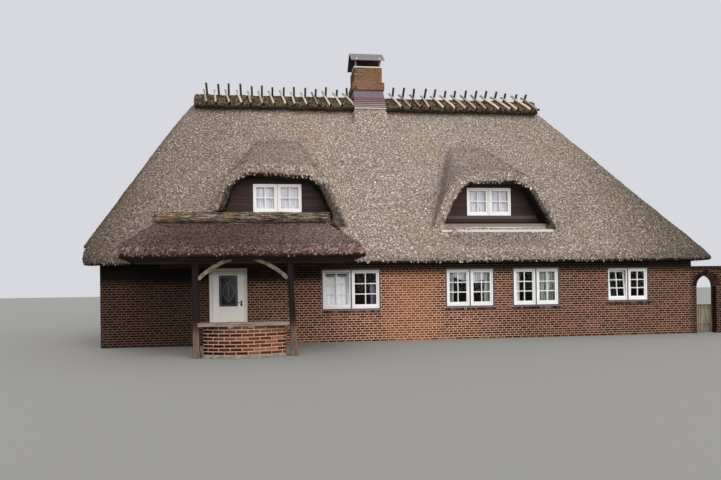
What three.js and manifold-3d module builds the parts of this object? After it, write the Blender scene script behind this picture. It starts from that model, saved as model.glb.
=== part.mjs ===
// Thatched cottage: brick walls, hipped thatch with two hooded dormers, ridge cap with crossed pegs,
// a canopied porch and a short garden wall with a gate.
// Millimetres, +Z up. X runs along the front, Y runs into the house, and the origin lies on the ground
// at the middle of the walls. Depths named "in" are counted from the outer face of the front wall.

import * as THREE from 'three';
import { ConvexGeometry } from 'three/addons/geometries/ConvexGeometry.js';
import { mergeVertices } from 'three/addons/utils/BufferGeometryUtils.js';
import Module from 'manifold-3d';

const wasm = await Module();
wasm.setup();

// Walls and floors
const HALF_LENGTH = 8200;
const HALF_DEPTH = 4250;
const WALL = 300;
const FLOOR_TOP = 80;
const WALL_TOP = 2300;
const ATTIC_TOP = 2450;
const GAP = 0.3;

// Thatch: the front and back slopes rise from the eave to the ridge
const EAVE_Z = 2110;
const EAVE_OUT = 450;
const SLOPE_Z = 2330;
const SLOPE_OUT = 400;
const RIDGE_Z = 7600;
const THATCH = 320;
const HIP_THATCH = 380;
const LEFT_HIP = { foot: -8720, footZ: 2650, head: -6400, wallTop: 3150, raise: 2600 };
const RIGHT_HIP = { foot: 8690, footZ: SLOPE_Z, head: 5320, wallTop: 2650 };
// The front slope is parted at this height, and below it beside each dormer
const FRONT_PART_Z = 4900;
const FRONT_PART_X = [-5520, -1600, 520, 4450];

// Ground-floor windows, as [left, right, bottom, top]
const FRONT_WINDOWS = {
  window_1: [-2520, -910, 860, 1970],
  window_2: [900, 2290, 880, 1960],
  window_3: [2820, 4190, 880, 1960],
  window_4: [5620, 6880, 965, 1935],
};
const BACK_WINDOWS = {
  back_window_1: [-5700, -4300, 880, 1960],
  back_window_2: [-700, 700, 880, 1960],
  back_window_3: [4300, 5700, 880, 1960],
};
const SIDE_WINDOW = [-700, 700, 880, 1960];
const WINDOW_BORDER = 100;
const MULLION = 150;
const WINDOW_SETBACK = 20;
const WINDOW_DEPTH = 70;
const GLASS = 6;

// Front door
const DOOR = {
  left: -5470, right: -4480, top: 2020, jamb: 75, head: 70, sill: 90,
  frameIn: 60, frameDepth: 100, leafIn: 80, leafThick: 40, play: 6,
  glass: [-5230, -4725, 1000, 1845], handleX: -4640, handleZ: 1110,
};
const HINGE_RADIUS = 9;
const HINGE_HEIGHT = 40;
const DOOR_HINGE = { x: -5385, in: 134, seat: 6, heights: [400, 1600] };

// Dormers: the opening under each hood, drawn as [x, z] from the lower left to the lower right
const DORMER_FACE_IN = 600;
const DORMER_BOARD = 60;
const HOOD_THICKNESS = 300;
const LEFT_DORMER = {
  lipIn: 200,
  opening: [[-5130, 3250], [-5070, 3580], [-4850, 4250], [-4440, 4540], [-2790, 4440],
    [-2520, 4210], [-2190, 3450], [-2120, 3250]],
  tunnel: [-4400, -2920, 3300, 4390], window: [-4320, -3000, 3560, 4340],
  crest: [-4250, -3000, 6150],
};
const RIGHT_DORMER = {
  lipIn: 150,
  opening: [[915, 3100], [1000, 3300], [1240, 3860], [1530, 4220], [1670, 4340], [2980, 4360],
    [3360, 4210], [3650, 3730], [4049, 3100]],
  tunnel: [1640, 3090, 3150, 4300], window: [1715, 3015, 3475, 4270],
  crest: [1800, 2900, 6000],
};
const SILL = {
  frontIn: 150, frontLow: 2955, frontZ: 2990, backZ: 3250, front: [880, 4080], back: [1120, 3900],
};
const ROLL = { radius: 150, in: 420, z: 3400, left: -6900, right: -2260, clearTo: -5050 };

// Chimney
const STACK = { left: -1085, right: -155, front: -350, back: 750, top: 8830 };
const STACK_BAND = { bottom: 8030, top: 8280, out: 70 };
const FLASHING = {
  left: -1115, right: -60, topRight: -125, top: 8010, topOut: 30, frontOut: 280, backOut: 330,
  frontZ: 7345, backZ: 6500,
};
const HOOD = {
  overhang: 100, halfDepth: 620, eave: 9040, ridge: 9450, sheet: 25,
  leg: 45, legInset: [40, 60], legTop: 9118,
};

// Ridge cap: its section as [y, z], and the crossed pegs that hold it
const CAP_SECTION = [
  [-470, 7365], [-405, 7480], [-200, 7770], [0, 7870], [200, 7770], [405, 7480], [470, 7365],
];
const LEFT_CAP = { left: -6300, right: -1118, pegs: 14, firstPeg: -5990, pegStep: 355 };
const RIGHT_CAP = { left: -57, right: 5250, pegs: 14, firstPeg: 260, pegStep: 360 };
const PEG = {
  width: 80, backWidth: 64, thick: 45, bury: 12, footY: 430, footZ: 7440, frontTop: 8100, backTop: 8330,
  lean: 170, headShift: 30,
};

// Porch
const CANOPY = {
  left: -6930, right: -1720, flareLeft: -7350, flareRight: -1680, out: 3250, bottom: 2160,
  noseZ: 2300, frontZ: 2440, backZ: 3241, topRight: -2300, valleyZ: 2780, backIn: 355, thatch: 320,
};
const POST = { left: -5430, right: -3390, lean: 80, out: 2800, size: 140, footSize: 175, footHeight: 130 };
const BEAM = {
  left: -6700, right: -1950, bottom: 2050, wallBottom: 2030, top: 2130, depth: 65, wallDepth: 80,
};
const CEILING = { left: -6760, right: -1880, out: 3060, thick: 30 };
const BRACE = { foot: [-30, 1690], bend: [300, 2030], head: [740, 2155], width: 85, depth: 60, steps: 8 };
const LOW_WALL = {
  left: -5280, right: -3500, out: 3120, height: 690, thick: 120, bow: 250, footing: 30, footingHeight: 60,
};
const PLANK = {
  right: -3412, thick: 78, out: 3150, inner: 2800, cleats: [-4725, -4300], cleatWidth: 110, cleatHeight: 45,
  cleatDepth: 25,
};

// Garden wall and gate
const GARDEN_WALL = {
  right: 9600, thick: 250, top: 1865, copingTop: 1935, copingOut: 40,
  archLeft: 8365, archRight: 8995, crown: 1674,
};
const GATE = {
  left: 8373, right: 8981, bottom: 40, top: 820, slats: 5, gap: 32, slatThick: 20, railThick: 30,
  rails: [180, 690], railHeight: 90,
};
const GATE_HINGE = { x: 8369, in: 262, seat: 20, heights: [215, 725] };

const FRONT = -HALF_DEPTH;
const into = (depth) => FRONT + depth;

// Solids and the ways to make them

function asSolid(geometry) {
  const bare = geometry.clone();
  bare.deleteAttribute('normal');
  bare.deleteAttribute('uv');
  const merged = mergeVertices(bare, 1e-3);
  return new wasm.Manifold(new wasm.Mesh({
    numProp: 3,
    vertProperties: Float32Array.from(merged.attributes.position.array),
    triVerts: Uint32Array.from(merged.index.array),
  }));
}

function asGeometry(solid) {
  const mesh = solid.getMesh();
  const geometry = new THREE.BufferGeometry();
  geometry.setAttribute('position', new THREE.BufferAttribute(Float32Array.from(mesh.vertProperties), 3));
  geometry.setIndex(new THREE.BufferAttribute(Uint32Array.from(mesh.triVerts), 1));
  geometry.computeVertexNormals();
  return geometry;
}

function block(x0, x1, y0, y1, z0, z1) {
  const geometry = new THREE.BoxGeometry(x1 - x0, y1 - y0, z1 - z0);
  geometry.translate((x0 + x1) / 2, (y0 + y1) / 2, (z0 + z1) / 2);
  return asSolid(geometry);
}

function extrude(points, depth) {
  const shape = new THREE.Shape(points.map(([a, b]) => new THREE.Vector2(a, b)));
  return new THREE.ExtrudeGeometry(shape, { depth, bevelEnabled: false });
}

// An outline in [y, z], run along X
function prismX(points, x0, x1) {
  const geometry = extrude(points, x1 - x0);
  geometry.applyMatrix4(new THREE.Matrix4().set(0, 0, 1, x0, 1, 0, 0, 0, 0, 1, 0, 0, 0, 0, 0, 1));
  return asSolid(geometry);
}

// An outline in [x, z], run along Y
function prismY(points, y0, y1) {
  const geometry = extrude(points, y1 - y0);
  geometry.applyMatrix4(new THREE.Matrix4().set(1, 0, 0, 0, 0, 0, -1, y1, 0, 1, 0, 0, 0, 0, 0, 1));
  return asSolid(geometry);
}

function hull(points) {
  return asSolid(new ConvexGeometry(points.map(([x, y, z]) => new THREE.Vector3(x, y, z))));
}

function upright(x, y, radius, z0, z1) {
  const geometry = new THREE.CylinderGeometry(radius, radius, z1 - z0, 12);
  geometry.rotateX(Math.PI / 2);
  geometry.translate(x, y, (z0 + z1) / 2);
  return asSolid(geometry);
}

function rod(from, to, width, thick) {
  const start = new THREE.Vector3(...from);
  const end = new THREE.Vector3(...to);
  const geometry = new THREE.BoxGeometry(width, start.distanceTo(end), thick);
  const along = end.clone().sub(start).normalize();
  const across = new THREE.Vector3(1, 0, 0);
  const normal = new THREE.Vector3().crossVectors(across, along).normalize();
  const side = new THREE.Vector3().crossVectors(along, normal);
  const turn = new THREE.Matrix4().makeBasis(side, along, normal);
  turn.setPosition(start.add(end).multiplyScalar(0.5));
  geometry.applyMatrix4(turn);
  return asSolid(geometry);
}

const joined = (solids) => solids.reduce((whole, next) => whole.add(next));
const cutBy = (solid, cutters) => cutters.reduce((whole, cutter) => whole.subtract(cutter), solid);

// Roof shape

const frontSlope = (RIDGE_Z - SLOPE_Z) / (HALF_DEPTH + SLOPE_OUT);
const hipSlope = (hip) => (RIDGE_Z - hip.footZ) / Math.abs(hip.head - hip.foot);
const dropFor = (slope, thickness) => thickness * Math.hypot(1, slope);

// Half the roof's depth on its outer face, and on its underside, at height z
const outerHalf = (z) => (RIDGE_Z - z) / frontSlope;
const innerHalf = (z) => (RIDGE_Z - dropFor(frontSlope, THATCH) - z) / frontSlope;
const hipOuter = (hip, z) => hip.head + (hip.foot - hip.head) * (RIDGE_Z - z) / (RIDGE_Z - hip.footZ);
const hipInner = (hip, thickness, z) => hipOuter(hip, z + dropFor(hipSlope(hip), thickness));
// How far in the outer face of the front slope lies at height z
const slopeIn = (z) => HALF_DEPTH - outerHalf(z);

function roundedRing(z, half, left, right, radius) {
  const points = [];
  const corners = [
    [right, half, 1, 1, 0], [left, half, -1, 1, 90], [left, -half, -1, -1, 180], [right, -half, 1, -1, 270],
  ];
  for (const [x, y, sx, sy, start] of corners) {
    for (let step = 0; step <= 4; step += 1) {
      const angle = THREE.MathUtils.degToRad(start + step * 22.5);
      points.push([
        x - sx * radius + radius * Math.cos(angle),
        y - sy * radius + radius * Math.sin(angle),
        z,
      ]);
    }
  }
  return points;
}

// The roof as one convex mass, from the eave's lip to the ridge, with rounded hips
function roofMass() {
  const MID_Z = 4600;
  const HIP_BULGE = 130;
  const RIDGE_HALF = 50;
  const eaveHalf = HALF_DEPTH + EAVE_OUT;
  const topZ = RIDGE_Z - RIDGE_HALF * frontSlope;
  return hull([
    ...roundedRing(EAVE_Z, eaveHalf, -8570, 8730, 450),
    ...roundedRing(EAVE_Z + 90, eaveHalf + 15, -8600, 8750, 450),
    ...roundedRing(SLOPE_Z, outerHalf(SLOPE_Z), -8650, RIGHT_HIP.foot, 500),
    ...roundedRing(LEFT_HIP.raise, outerHalf(LEFT_HIP.raise), -8725,
      hipOuter(RIGHT_HIP, LEFT_HIP.raise), 550),
    ...roundedRing(MID_Z, outerHalf(MID_Z), hipOuter(LEFT_HIP, MID_Z) - HIP_BULGE,
      hipOuter(RIGHT_HIP, MID_Z) + HIP_BULGE / 2, 800),
    ...roundedRing(topZ, RIDGE_HALF, LEFT_HIP.head - 20, RIGHT_HIP.head + 20, RIDGE_HALF),
  ]);
}

// The room under the thatch, as one convex mass
function roofVoid() {
  const low = 1950;
  const peak = RIDGE_Z - dropFor(frontSlope, THATCH);
  const left = hipInner(LEFT_HIP, THATCH, low);
  const right = hipInner(RIGHT_HIP, HIP_THATCH, low);
  const half = innerHalf(low);
  return hull([
    [left, -half, low], [left, half, low], [right, -half, low], [right, half, low],
    [hipInner(LEFT_HIP, THATCH, peak), 0, peak], [hipInner(RIGHT_HIP, HIP_THATCH, peak), 0, peak],
  ]);
}

// The outline of an opening, moved out by the hood's thickness
function swollen(opening, distance) {
  return opening.map((point, index) => {
    const before = opening[Math.max(index - 1, 0)];
    const after = opening[Math.min(index + 1, opening.length - 1)];
    const along = new THREE.Vector2(after[0] - before[0], after[1] - before[1]).normalize();
    return [point[0] - along.y * distance, point[1] + along.x * distance];
  });
}

function dormerHood(dormer) {
  const sunk = 2850;
  const buried = 40;
  const front = into(dormer.lipIn);
  const outline = swollen(dormer.opening, HOOD_THICKNESS);
  const [crestLeft, crestRight, crestZ] = dormer.crest;
  const crestY = into(slopeIn(crestZ));
  const first = outline[0];
  const last = outline[outline.length - 1];
  return hull([
    ...outline.map(([x, z]) => [x, front, z]),
    [first[0] - 80, front, sunk], [last[0] + 80, front, sunk],
    [crestLeft, crestY, crestZ - buried], [crestRight, crestY, crestZ - buried],
    [crestLeft, crestY, crestZ - HOOD_THICKNESS], [crestRight, crestY, crestZ - HOOD_THICKNESS],
  ]);
}

const dormerRecess = (dormer) => prismY(
  dormer.opening, into(-1500), into(DORMER_FACE_IN + DORMER_BOARD + GAP),
);

function dormerTunnel(dormer) {
  const [left, right, bottom, top] = dormer.tunnel;
  return block(left, right, into(DORMER_FACE_IN), into(2100), bottom, top);
}

function canopyMass(grow, lows) {
  const left = CANOPY.left - grow;
  const right = CANOPY.right + grow;
  const back = into(CANOPY.backIn + grow);
  const front = into(-CANOPY.out - grow);
  const nose = into(-CANOPY.out - 30 - grow);
  const corner = into(-CANOPY.out + 150);
  const shoulder = into(-CANOPY.out + 100);
  const foot = (z) => [
    [left + 60, front, z], [left - 40, corner, z], [CANOPY.flareLeft - grow, into(-EAVE_OUT), z],
    [CANOPY.flareLeft - grow, back, z], [right - 60, front, z], [right + 20, corner, z],
    [CANOPY.flareRight + grow, into(-EAVE_OUT), z], [CANOPY.flareRight + grow, back, z],
  ];
  return hull([
    ...lows.flatMap(foot),
    [left + 40, nose, CANOPY.noseZ], [right - 40, nose, CANOPY.noseZ],
    [left, shoulder, CANOPY.frontZ + grow], [right - 130, shoulder, CANOPY.frontZ + grow],
    [left - 60, into(-1800), CANOPY.noseZ + 100],
    [left, back, CANOPY.backZ + grow], [CANOPY.topRight + grow, back, CANOPY.backZ + grow],
    [CANOPY.flareRight + grow, back, CANOPY.valleyZ + grow],
  ]);
}

function canopyVoid() {
  const left = CANOPY.left + 290;
  const right = CANOPY.right - 270;
  const front = into(-CANOPY.out + 290);
  const back = into(CANOPY.backIn + 10);
  const low = CANOPY.bottom - 100;
  const frontTop = CANOPY.bottom + 40;
  const backTop = CANOPY.backZ - CANOPY.thatch;
  return hull([
    [left, front, low], [right, front, low], [left, back, low], [right, back, low],
    [left, front, frontTop], [right, front, frontTop],
    [left, back, backTop], [-2450, back, backTop], [right, back, 2400],
  ]);
}

// The plane between a long slope (side -1 in front, 1 behind) and a hip: it holds both edges where they
// meet, on the outer face and on the underside, and its normal points to the slope
function mitre(hip, thickness, side) {
  const peak = RIDGE_Z - dropFor(frontSlope, THATCH);
  const points = [
    [hip.head, 0, RIDGE_Z], [hipOuter(hip, SLOPE_Z), side * outerHalf(SLOPE_Z), SLOPE_Z],
    [hipInner(hip, thickness, peak), 0, peak],
  ];
  const [head, foot, peakHead] = points.map((point) => new THREE.Vector3(...point));
  const plane = new THREE.Plane().setFromCoplanarPoints(head, foot, peakHead);
  const onSlope = new THREE.Vector3(0, side * HALF_DEPTH, SLOPE_Z);
  return plane.distanceToPoint(onSlope) > 0 ? plane : plane.negate();
}

const beyond = (axis, at) => new THREE.Plane(new THREE.Vector3(...axis), -at);
const flipped = (plane) => plane.clone().negate();

// What lies in front of all planes, half a gap away from each
const trimmed = (solid, planes) => planes.reduce(
  (rest, { normal, constant }) => rest.trimByPlane(normal.toArray(), GAP / 2 - constant), solid,
);

// A side wall's outline: it fills the gable up to the hip, clear of the long slopes
function sideWallOutline(top, grow) {
  const clear = 20;
  const shoulderZ = ATTIC_TOP + grow;
  const shoulder = innerHalf(ATTIC_TOP) - clear;
  const head = innerHalf(top) - clear;
  const edge = HALF_DEPTH + grow;
  return [[-edge, 0], [edge, 0], [edge, shoulderZ], [shoulder, shoulderZ], [head, top + grow],
    [-head, top + grow], [-shoulder, shoulderZ], [-edge, shoulderZ]];
}

const stackBlock = (grow) => block(
  STACK.left - grow, STACK.right + grow, STACK.front - grow, STACK.back + grow, FLOOR_TOP, STACK.top,
);

function dormerSill(grow) {
  const edge = (index, depth) => SILL.front[index]
    + (SILL.back[index] - SILL.front[index]) * (depth - SILL.frontIn) / (DORMER_FACE_IN - SILL.frontIn);
  const low = RIGHT_DORMER.opening[0][1] - 20;
  const backIn = DORMER_FACE_IN - 2;
  const bottom = [[SILL.frontIn, SILL.frontLow], [backIn, low]];
  const top = [[SILL.frontIn, SILL.frontZ], [backIn, SILL.backZ]];
  const corners = (depth, z) => [
    [edge(0, depth) - grow, into(depth), z], [edge(1, depth) + grow, into(depth), z],
  ];
  return hull([
    ...bottom.flatMap(([depth, z]) => corners(depth, z - grow)),
    ...top.flatMap(([depth, z]) => corners(depth, z + grow)),
  ]);
}

function dormerRoll(grow) {
  const geometry = new THREE.CylinderGeometry(ROLL.radius + grow, ROLL.radius + grow,
    ROLL.right - ROLL.left + 2 * grow, 16);
  geometry.rotateZ(Math.PI / 2);
  geometry.translate((ROLL.left + ROLL.right) / 2, into(ROLL.in), ROLL.z);
  return asSolid(geometry);
}

// The parts, by name

function thatch() {
  const { radius, in: rollIn, z: rollZ } = ROLL;
  const overRoll = block(ROLL.left, ROLL.clearTo, into(0), into(rollIn + radius), EAVE_Z, rollZ + radius);
  const hoods = [dormerHood(LEFT_DORMER).subtract(overRoll), dormerHood(RIGHT_DORMER)];
  const walls = [
    block(-HALF_LENGTH - GAP, HALF_LENGTH + GAP, FRONT - GAP, HALF_DEPTH + GAP, 0, ATTIC_TOP + GAP),
    prismX(sideWallOutline(LEFT_HIP.wallTop, GAP), -HALF_LENGTH - GAP, -HALF_LENGTH + WALL + GAP),
    prismX(sideWallOutline(RIGHT_HIP.wallTop, GAP), HALF_LENGTH - WALL - GAP, HALF_LENGTH + GAP),
    block(-9500, -HALF_LENGTH, FRONT - GAP, HALF_DEPTH + GAP, 1900, LEFT_HIP.raise),
  ];
  const shell = cutBy(joined([roofMass(), ...hoods]), [
    roofVoid(), ...walls, stackBlock(GAP), canopyMass(2 * GAP, [2000, CANOPY.bottom]),
    dormerRoll(2 * GAP), dormerSill(2 * GAP),
    ...[LEFT_DORMER, RIGHT_DORMER].flatMap((dormer) => [dormerRecess(dormer), dormerTunnel(dormer)]),
  ]);
  const leftMitres = [-1, 1].map((side) => mitre(LEFT_HIP, THATCH, side));
  const rightMitres = [-1, 1].map((side) => mitre(RIGHT_HIP, HIP_THATCH, side));
  const behindRidge = beyond([0, 1, 0], 0);
  const upper = beyond([0, 0, 1], FRONT_PART_Z);
  const front = trimmed(shell, [leftMitres[0], rightMitres[0], flipped(behindRidge)]);
  const lower = trimmed(front, [flipped(upper)]);
  const [first, second, third, fourth] = FRONT_PART_X.map((x) => beyond([1, 0, 0], x));
  return {
    thatch_front_top: trimmed(front, [upper]),
    thatch_front_left: trimmed(lower, [flipped(first)]),
    thatch_dormer_left: trimmed(lower, [first, flipped(second)]),
    thatch_front_middle: trimmed(lower, [second, flipped(third)]),
    thatch_dormer_right: trimmed(lower, [third, flipped(fourth)]),
    thatch_front_right: trimmed(lower, [fourth]),
    thatch_back: trimmed(shell, [leftMitres[1], rightMitres[1], behindRidge]),
    thatch_left_hip: trimmed(shell, [...leftMitres.map(flipped), beyond([0, 0, 1], LEFT_HIP.raise)]),
    thatch_right_hip: trimmed(shell, rightMitres.map(flipped)),
  };
}

function walls() {
  const doorX = [DOOR.left, DOOR.right];
  const inner = HALF_LENGTH - WALL;
  const back = [HALF_DEPTH - WALL, HALF_DEPTH];
  const front = [FRONT, FRONT + WALL];
  const holes = (windows, [y0, y1]) => Object.values(windows)
    .map(([left, right, bottom, top]) => block(left, right, y0 - 1, y1 + 1, bottom, top));
  const sideHole = (x0, x1) => block(x0 - 1, x1 + 1, ...SIDE_WINDOW);
  const sideWall = (hip, x0, x1) => prismX(sideWallOutline(hip.wallTop, 0), x0, x1)
    .subtract(sideHole(x0, x1));
  return {
    front_wall_left: block(-inner, doorX[0], ...front, 0, WALL_TOP),
    front_wall_over_door: block(doorX[0], doorX[1], ...front, DOOR.top, WALL_TOP),
    front_wall_right: cutBy(block(doorX[1], inner, ...front, 0, WALL_TOP), holes(FRONT_WINDOWS, front)),
    back_wall: cutBy(block(-inner, inner, ...back, 0, WALL_TOP), holes(BACK_WINDOWS, back)),
    left_wall: sideWall(LEFT_HIP, -HALF_LENGTH, -inner),
    right_wall: sideWall(RIGHT_HIP, inner, HALF_LENGTH),
  };
}

function floors() {
  const inner = HALF_LENGTH - WALL;
  const depth = HALF_DEPTH - WALL;
  const reveal = 80;
  const doorstep = block(DOOR.left + reveal, DOOR.right - reveal,
    into(DOOR.frameIn + DOOR.frameDepth), into(WALL), 0, FLOOR_TOP);
  return {
    ground_floor: block(-inner, inner, -depth, depth, 0, FLOOR_TOP).add(doorstep),
    attic_floor: block(-inner, inner, FRONT, HALF_DEPTH, WALL_TOP, ATTIC_TOP).subtract(stackBlock(GAP)),
  };
}

// A window with two lights in a frame, set in a hole; the frame fills the hole but for a hair's breadth
function windowFrame([left, right, bottom, top], y0, y1) {
  const middle = (left + right) / 2;
  const frame = block(left + GAP, right - GAP, y0, y1, bottom + GAP, top - GAP);
  const light = (x0, x1) => block(x0, x1, y0 - 1, y1 + 1, bottom + WINDOW_BORDER, top - WINDOW_BORDER);
  return cutBy(frame, [
    light(left + WINDOW_BORDER, middle - MULLION / 2), light(middle + MULLION / 2, right - WINDOW_BORDER),
  ]);
}

function windowGlass([left, right, bottom, top], y0, y1) {
  const inset = 25;
  return block(left + inset, right - inset, y0, y1, bottom + inset, top - inset);
}

// A window whose panes are one thin web in the same solid as its frame
function glazedWindow(opening, y0, y1) {
  const middle = (y0 + y1) / 2;
  return windowFrame(opening, y0, y1).add(windowGlass(opening, middle - GLASS / 2, middle + GLASS / 2));
}

function turnedToSide(solid) {
  return asSolid(asGeometry(solid).rotateZ(-Math.PI / 2));
}

function windows() {
  const parts = {};
  const frontY = into(WINDOW_SETBACK);
  for (const [name, opening] of Object.entries(FRONT_WINDOWS)) {
    parts[name] = windowFrame(opening, frontY, frontY + WINDOW_DEPTH);
    const glassY = frontY + WINDOW_DEPTH + GAP;
    parts[`${name}_glass`] = windowGlass(opening, glassY, glassY + GLASS);
  }
  const backY = HALF_DEPTH - WINDOW_SETBACK;
  for (const [name, opening] of Object.entries(BACK_WINDOWS)) {
    parts[name] = glazedWindow(opening, backY - WINDOW_DEPTH, backY);
  }
  // Turned a quarter, Y becomes X: the left window faces -X and the right one +X
  const sideY = HALF_LENGTH - WINDOW_SETBACK;
  parts.left_window = turnedToSide(glazedWindow(SIDE_WINDOW, -sideY, -sideY + WINDOW_DEPTH));
  parts.right_window = turnedToSide(glazedWindow(SIDE_WINDOW, sideY - WINDOW_DEPTH, sideY));
  return parts;
}

function dormers() {
  const parts = {};
  const faceY = into(DORMER_FACE_IN);
  for (const [side, dormer] of Object.entries({ left: LEFT_DORMER, right: RIGHT_DORMER })) {
    const [left, right, bottom, top] = dormer.window;
    const board = new THREE.Vector2((left + right) / 2, (bottom + top) / 2);
    const shrink = 0.9994;
    const outline = dormer.opening.map(([x, z]) => [
      board.x + (x - board.x) * shrink, board.y + (z - board.y) * shrink,
    ]);
    parts[`dormer_${side}_face`] = prismY(outline, faceY, faceY + DORMER_BOARD)
      .subtract(block(left, right, faceY - 1, faceY + DORMER_BOARD + 1, bottom, top));
    parts[`dormer_${side}_window`] = windowFrame(dormer.window, faceY - 15, faceY + DORMER_BOARD);
    parts[`dormer_${side}_glass`] = windowGlass(dormer.window,
      faceY + DORMER_BOARD + GAP, faceY + DORMER_BOARD + GAP + GLASS);
  }
  parts.dormer_left_roll = dormerRoll(0);
  parts.dormer_right_sill = dormerSill(0);
  return parts;
}

function chimney() {
  const { left, right, front, back, top } = STACK;
  const { out } = STACK_BAND;
  const band = block(left - out, right + out, front - out, back + out, STACK_BAND.bottom, STACK_BAND.top);
  const level = (x1, y, z) => [[FLASHING.left, y, z], [x1, y, z]];
  const collar = hull([
    ...level(FLASHING.topRight, front - FLASHING.topOut, FLASHING.top),
    ...level(FLASHING.topRight, back + FLASHING.topOut, FLASHING.top),
    ...level(FLASHING.right, front - FLASHING.frontOut, FLASHING.frontZ),
    ...level(FLASHING.right, back + FLASHING.backOut, FLASHING.backZ),
  ]);
  const middle = (front + back) / 2;
  const x0 = left - HOOD.overhang;
  const x1 = right + HOOD.overhang;
  const roof = prismX([
    [middle - HOOD.halfDepth, HOOD.eave], [middle, HOOD.ridge], [middle + HOOD.halfDepth, HOOD.eave],
    [middle + HOOD.halfDepth, HOOD.eave - HOOD.sheet], [middle, HOOD.ridge - HOOD.sheet],
    [middle - HOOD.halfDepth, HOOD.eave - HOOD.sheet],
  ], x0, x1);
  const legs = [];
  const [insetX, insetY] = HOOD.legInset;
  for (const x of [left + insetX, right - insetX - HOOD.leg]) {
    for (const y of [front + insetY, back - insetY - HOOD.leg]) {
      legs.push(block(x, x + HOOD.leg, y, y + HOOD.leg, top + GAP, HOOD.legTop));
    }
  }
  return {
    chimney_stack: stackBlock(0).add(band),
    chimney_flashing: cutBy(collar, [roofMass().translate([0, 0, 0.5]), stackBlock(GAP)]),
    chimney_hood: joined([roof, ...legs]),
  };
}

// Crossed pegs: one lies on the front of the cap and leans along the ridge, the other lies on the back
function pegPair(x) {
  const inward = PEG.footY - PEG.bury;
  const front = (z) => -inward + (z - PEG.footZ) / frontSlope;
  const onFront = (at, z) => [at, front(z), z];
  const onBack = (z) => [x + PEG.width, -front(z), z];
  return [
    rod(onFront(x + PEG.lean, PEG.footZ), onFront(x - PEG.headShift, PEG.frontTop), PEG.width, PEG.thick),
    rod(onBack(PEG.footZ), onBack(PEG.backTop), PEG.backWidth, PEG.thick),
  ];
}

function ridgeCap({ left, right, pegs, firstPeg, pegStep }) {
  const cap = prismX(CAP_SECTION, left, right);
  const pairs = Array.from({ length: pegs }, (_, index) => pegPair(firstPeg + index * pegStep)).flat();
  return joined([cap, ...pairs]).subtract(roofMass().translate([0, 0, 0.5]));
}

function hingeFor({ x, in: depth, seat, heights }, frameReach, leafReach) {
  const y = into(depth);
  const frameSide = [];
  const leafSide = [];
  for (const z of heights) {
    frameSide.push(upright(x, y, HINGE_RADIUS, z - HINGE_HEIGHT, z));
    frameSide.push(block(frameReach, x, y - seat, y + 6, z - HINGE_HEIGHT, z));
    leafSide.push(upright(x, y, HINGE_RADIUS, z + GAP, z + HINGE_HEIGHT));
    leafSide.push(block(x, leafReach, y - 15, y - 3, z + GAP, z + HINGE_HEIGHT));
  }
  return { frameSide, leafSide };
}

function doorway() {
  const { left, right, top, jamb, head, sill, frameIn, frameDepth, leafIn, leafThick, play } = DOOR;
  const hinge = hingeFor(DOOR_HINGE, left + jamb - 20, left + jamb + 75);
  const frameY = [into(frameIn), into(frameIn + frameDepth)];
  const frame = block(left + GAP, right - GAP, frameY[0], frameY[1] - GAP, 0, top - GAP)
    .subtract(block(left + jamb, right - jamb, frameY[0] - 1, frameY[1] + 1, sill, top - head));
  const leafY = [into(leafIn), into(leafIn + leafThick)];
  const [g0, g1, g2, g3] = DOOR.glass;
  const spindle = 6;
  const hole = block(DOOR.handleX - spindle - 1, DOOR.handleX + spindle + 1, leafY[0] - 1, leafY[1] + 1,
    DOOR.handleZ - spindle - 1, DOOR.handleZ + spindle + 1);
  const leaf = cutBy(
    block(left + jamb + play, right - jamb - play, ...leafY, sill + play, top - head - play),
    [block(g0, g1, leafY[0] - 1, leafY[1] + 1, g2, g3), hole],
  );
  const glassY = into(leafIn + leafThick / 2);
  const between = (x0, x1, ya, yb, z0, z1) => block(
    DOOR.handleX + x0, DOOR.handleX + x1,
    Math.min(ya, yb), Math.max(ya, yb),
    DOOR.handleZ + z0, DOOR.handleZ + z1,
  );
  const plate = { halfWidth: 18, below: 90, above: 60, thick: 6 };
  const lever = { half: 8, reach: 110, thick: 12 };
  const grip = (plateY, leverY, side) => [
    between(-plate.halfWidth, plate.halfWidth, plateY, plateY + side * plate.thick,
      -plate.below, plate.above),
    between(-lever.half, lever.half, plateY, leverY, -lever.half, lever.half),
    between(-lever.reach, lever.half, leverY, leverY + side * lever.thick, -lever.half, lever.half),
  ];
  const outside = leafY[0] - GAP;
  const inside = leafY[1] + GAP;
  return {
    door_frame: joined([frame, ...hinge.frameSide]),
    front_door: joined([leaf, ...hinge.leafSide]),
    door_glass: block(g0 + GAP, g1 - GAP, glassY - GLASS / 2, glassY + GLASS / 2, g2 + GAP, g3 - GAP),
    door_handle: joined([
      block(DOOR.handleX - spindle, DOOR.handleX + spindle, outside - 1, inside + 1,
        DOOR.handleZ - spindle, DOOR.handleZ + spindle),
      ...grip(outside, outside - 40, -1), ...grip(inside, inside + 40, 1),
    ]),
  };
}

function postShaft(x, lean, grow) {
  const half = POST.size / 2 + grow;
  const middle = into(-POST.out);
  const ends = [[x, BEAM.bottom - GAP], [x + lean, 0]];
  return hull(ends.flatMap(([at, z]) => [-half, half].flatMap((dx) => [-half, half].map(
    (dy) => [at + dx, middle + dy, z],
  ))));
}

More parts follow.
